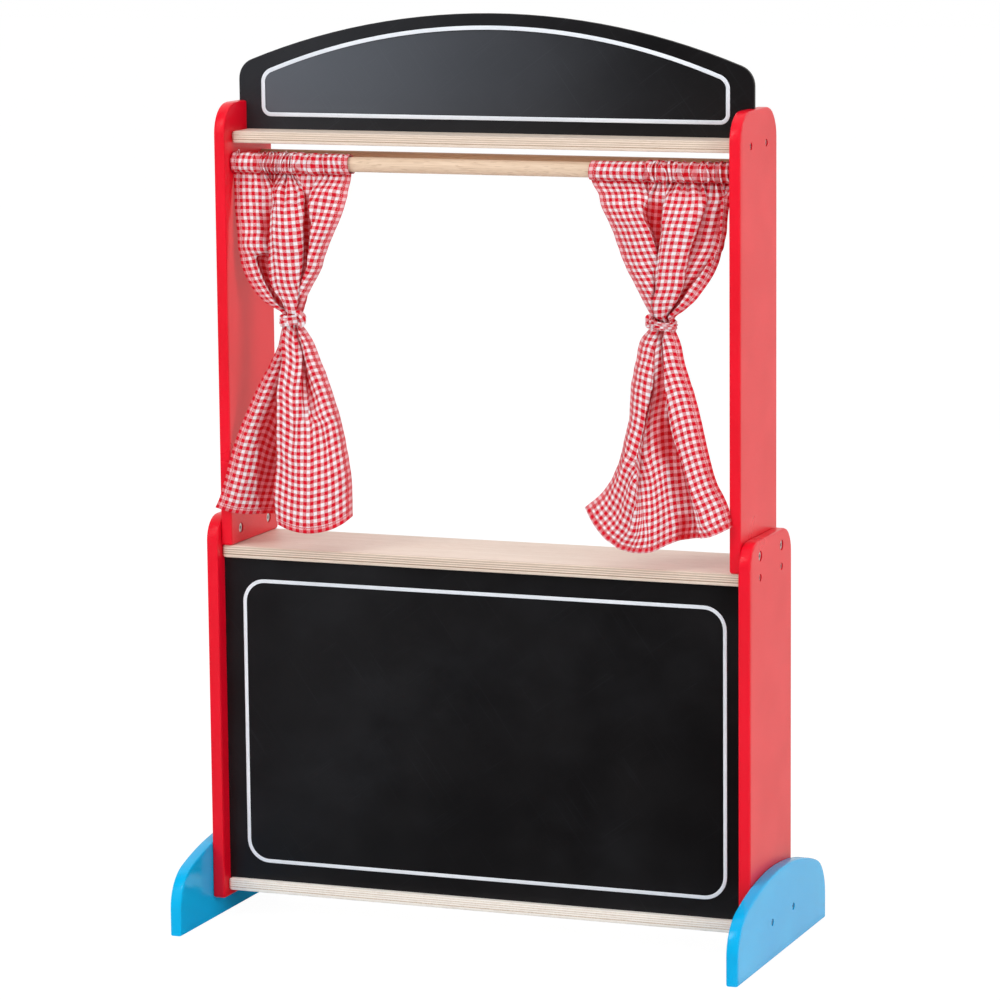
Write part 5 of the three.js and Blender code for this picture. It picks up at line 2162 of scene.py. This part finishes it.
@dataclass(frozen=True)
class LooseThread:
    """A loop of sewing thread that stands out of a casing.

    Args:
        name: the piece's name.
        foot: where it leaves the cloth, in metres.
        height: how high it stands.
        lean: how far it leans along X.
        radius: the thread's radius.
        sides: how many points its section has.
        steps: how many places it has along its way.
        route: its way, as shares of its lean along X and Y and of its height.
    """

    name: str
    foot: Triple
    height: float
    lean: float
    radius: float = 0.00028
    sides: int = 6
    steps: int = 30
    route: tuple[Triple, ...] = (
        (0.0, 0.0, 0.0), (0.3, 0.0, 0.55), (0.8, -0.1, 1.0), (1.25, -0.1, 0.7), (1.1, 0.0, 0.0))

    def build(self, finish: Material) -> Piece:
        """Make the thread.

        Args:
            finish: the thread's finish.

        Returns:
            The new piece.
        """
        route = np.array(self.route) * (self.lean, self.lean, self.height) + np.array(self.foot)
        _, spine, tangent = spine_of(route, self.steps)
        points = []
        for place, along in zip(spine, tangent):
            side = np.cross(along, (0.0, 1.0, 0.0))
            for part in range(self.sides):
                spin = 2 * math.pi * part / self.sides
                offset = side * math.cos(spin) + np.array([0.0, 1.0, 0.0]) * math.sin(spin)
                points.append(place + offset * self.radius)
        faces = grid_faces(len(spine), self.sides, closed=True)
        piece = object_from(self.name, np.array(points), faces, finish)
        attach(piece, "left_curtain_heading")
        return piece


# Studio

@dataclass
class Studio:
    """The white studio: camera, soft lamps, bright surroundings and floor.

    Args:
        azimuth: the camera's place round the stand, in degrees.
        elevation: its height above the horizon, in degrees.
        roll: how far it is turned about its own line of sight, in degrees.
        lens: its focal length, in millimetres.
        distance: how far it stands from its target.
        target: the point that it looks at.
        floor_size: the floor's width and depth, in metres.
        front_level: how light the surroundings in front are, against white.
        sky_level: how light those behind are.
        front_mirrored: how light the front is in what mirrors it.
        floor_mirrored: how light the floor behind is in what mirrors it.
        floor_glow: how light the floor looks, against white.
        floor_share: how much of the floor's look is that glow, and not its shadow.
        aim: the point that the lamps face.
    """

    azimuth: float = 21.207
    elevation: float = 9.032
    roll: float = -0.539
    lens: float = 160.423
    distance: float = 5.32614
    target: Triple = (0.005424, 0.0, 0.524245)
    floor_size: float = 40.0
    front_level: float = 0.24
    sky_level: float = 0.80
    front_mirrored: float = 0.04
    floor_mirrored: float = 0.95
    floor_glow: float = 1.07
    floor_share: float = 0.90
    aim: Triple = (0.0, 0.0, 0.55)

    def build(self) -> None:
        """Set up the whole studio."""
        self.add_camera()
        self.add_surroundings()
        self.add_floor()
        self.add_lamps()
        bpy.context.scene.view_settings.view_transform = "Standard"

    def add_camera(self) -> None:
        """Place the camera at the photograph's angle."""
        azimuth = math.radians(self.azimuth)
        elevation = math.radians(self.elevation)
        roll = math.radians(self.roll)
        back = Vector((math.sin(azimuth) * math.cos(elevation), -math.cos(azimuth) * math.cos(elevation),
                       math.sin(elevation)))
        right = (-back).cross(Vector((0, 0, 1))).normalized()
        up = right.cross(-back)
        turned_right = right * math.cos(roll) + up * math.sin(roll)
        turned_up = up * math.cos(roll) - right * math.sin(roll)
        data = bpy.data.cameras.new("studio_camera")
        data.lens = self.lens
        data.sensor_width = 36.0
        data.clip_end = 60.0
        camera = bpy.data.objects.new("studio_camera", data)
        bpy.context.scene.collection.objects.link(camera)
        turn = Matrix((turned_right, turned_up, back)).transposed().to_4x4()
        camera.matrix_world = Matrix.Translation(Vector(self.target) + back * self.distance) @ turn
        bpy.context.scene.camera = camera

    def add_surroundings(self) -> None:
        """Light from all round, with a dark room in front for what mirrors it."""
        world = bpy.data.worlds.new("studio")
        w = Wiring.emptied(world)
        backward = w.parts(w.node("TexCoord").outputs["Generated"])[1]
        behind = w.spread(backward, -0.35, 0.30)
        fill = w.spread(backward, -0.2, 0.5, self.front_level, self.sky_level)
        mirrored = w.spread(behind, 0.0, 1.0, self.front_mirrored, 1.0)
        path = w.node("LightPath").outputs
        level = w.mix(path["Is Glossy Ray"], fill, mirrored)
        plain = w.math("MAXIMUM", path["Is Camera Ray"], path["Is Transmission Ray"])
        tint = w.mix(path["Is Glossy Ray"], (0.98, 0.99, 1.0), (1.0, 0.97, 0.93))
        light = w.node("Background", {0: tint, 1: level}).outputs[0]
        white = w.node("Background", {0: (1.0, 1.0, 1.0), 1: 1.0}).outputs[0]
        both = w.node("MixShader", {0: plain, 1: light, 2: white}).outputs[0]
        w.node("OutputWorld", {0: both})
        bpy.context.scene.world = world

    def add_floor(self) -> None:
        """A white floor that keeps a faint shadow."""
        half = self.floor_size / 2
        material = bpy.data.materials.new("studio_floor")
        w = Wiring.emptied(material)
        path = w.node("LightPath").outputs
        shown = w.math("MAXIMUM", path["Is Camera Ray"], path["Is Transmission Ray"])
        x, y, _ = w.parts(w.node("TexCoord").outputs["Object"])
        beside = w.times(w.spread(x, 0.33, 0.38), w.spread(y, -0.35, -0.10))
        mirrored = w.math("MAXIMUM", w.spread(y, 0.70, 1.30), beside)
        level = w.spread(mirrored, 0.0, 1.0, self.front_mirrored, self.floor_mirrored)
        lit = w.node("BsdfDiffuse", {0: (0.86, 0.86, 0.86)}).outputs[0]
        glow = w.node("Emission", {0: (1.0, 1.0, 1.0), 1: self.floor_glow}).outputs[0]
        seen = w.node("MixShader", {0: w.times(shown, self.floor_share), 1: lit, 2: glow}).outputs[0]
        room = w.node("Emission", {0: (1.0, 0.95, 0.87), 1: level}).outputs[0]
        both = w.node("MixShader", {0: path["Is Glossy Ray"], 1: seen, 2: room}).outputs[0]
        w.node("OutputMaterial", {0: both})
        corners = np.array([(-half, -half, 0), (half, -half, 0), (half, half, 0), (-half, half, 0)])
        floor = object_from("studio_floor", corners, [(0, 1, 2, 3)], material)

    def add_lamps(self) -> None:
        """Soft boxes: two in front, one above, one on the right, one behind and a narrow one that gleams."""
        self.add_lamp("front_left", (-2.6, -3.4, 2.2), (2.4, 2.4), 66.0)
        self.add_lamp("front", (1.0, -4.1, 1.9), (2.6, 2.2), 24.0)
        self.add_lamp("overhead", (0.2, -0.8, 3.6), (2.6, 2.6), 40.0)
        self.add_lamp("right", (3.4, -1.6, 1.6), (1.4, 2.2), 50.0)
        self.add_lamp("back", (-1.0, 3.6, 2.0), (2.6, 2.2), 26.0)
        self.add_lamp("gleam", (-1.2, -2.6, 3.0), (0.4, 1.0), 12.0, True)

    def add_lamp(self, name: str, place: Triple, size: tuple[float, float], power: float,
                 mirrored: bool = False) -> None:
        """Add one soft box that faces the stand.

        Args:
            name: the lamp's name.
            place: where it hangs, in metres.
            size: its width and height.
            power: its power, in watts.
            mirrored: whether glossy surfaces show it.
        """
        data = bpy.data.lights.new(name, "AREA")
        data.shape = "RECTANGLE"
        data.size, data.size_y = size
        data.energy = power
        lamp = bpy.data.objects.new(name, data)
        bpy.context.scene.collection.objects.link(lamp)
        lamp.location = place
        lamp.visible_glossy = mirrored
        towards = Vector(self.aim) - Vector(place)
        lamp.rotation_euler = towards.to_track_quat("-Z", "Y").to_euler()


def main() -> None:
    """Build the stand's finishes, its dressed parts, its curtains and the studio."""
    logging.basicConfig(level=logging.INFO, format="%(name)s: %(message)s")
    finishes = Finishes(ShaderGroups())
    Frame(finishes).build()
    LOG.info("frame dressed")
    lines = [
        PaintedLine("lower_board_line", face=-0.060, half_width=0.3082, bottom=0.071, top=0.4225,
                    corner=0.0287, stroke=0.0046, middle=0.0019),
        PaintedLine("sign_board_line", face=-0.003, half_width=0.296, bottom=0.9776, top=1.0315,
                    corner=0.012, stroke=0.0050, arc_rise=0.0575),
    ]
    for line in lines:
        line.build(finishes.line)
        LOG.info("%s painted", line.name)
    curtains = [
        Curtain(Side.LEFT, finishes.gingham, LEFT_FOLDS, length=0.155, waist_down=0.395,
                waist_across=0.484, waist_width=0.020),
        Curtain(Side.RIGHT, finishes.gingham, RIGHT_FOLDS, length=0.178, waist_down=0.367,
                waist_across=0.486, waist_width=0.026),
    ]
    for curtain in curtains:
        for piece in curtain.build():
            LOG.info("%s made", piece.name)
    threads = [
        LooseThread("left_loose_thread", foot=(-0.3105, -0.045, 0.9345), height=0.0060, lean=0.0028),
        LooseThread("middle_loose_thread", foot=(-0.2475, -0.044, 0.9350), height=0.0052, lean=0.0012),
    ]
    for thread in threads:
        thread.build(finishes.thread)
    Studio().build()


if __name__ == "__main__":
    main()
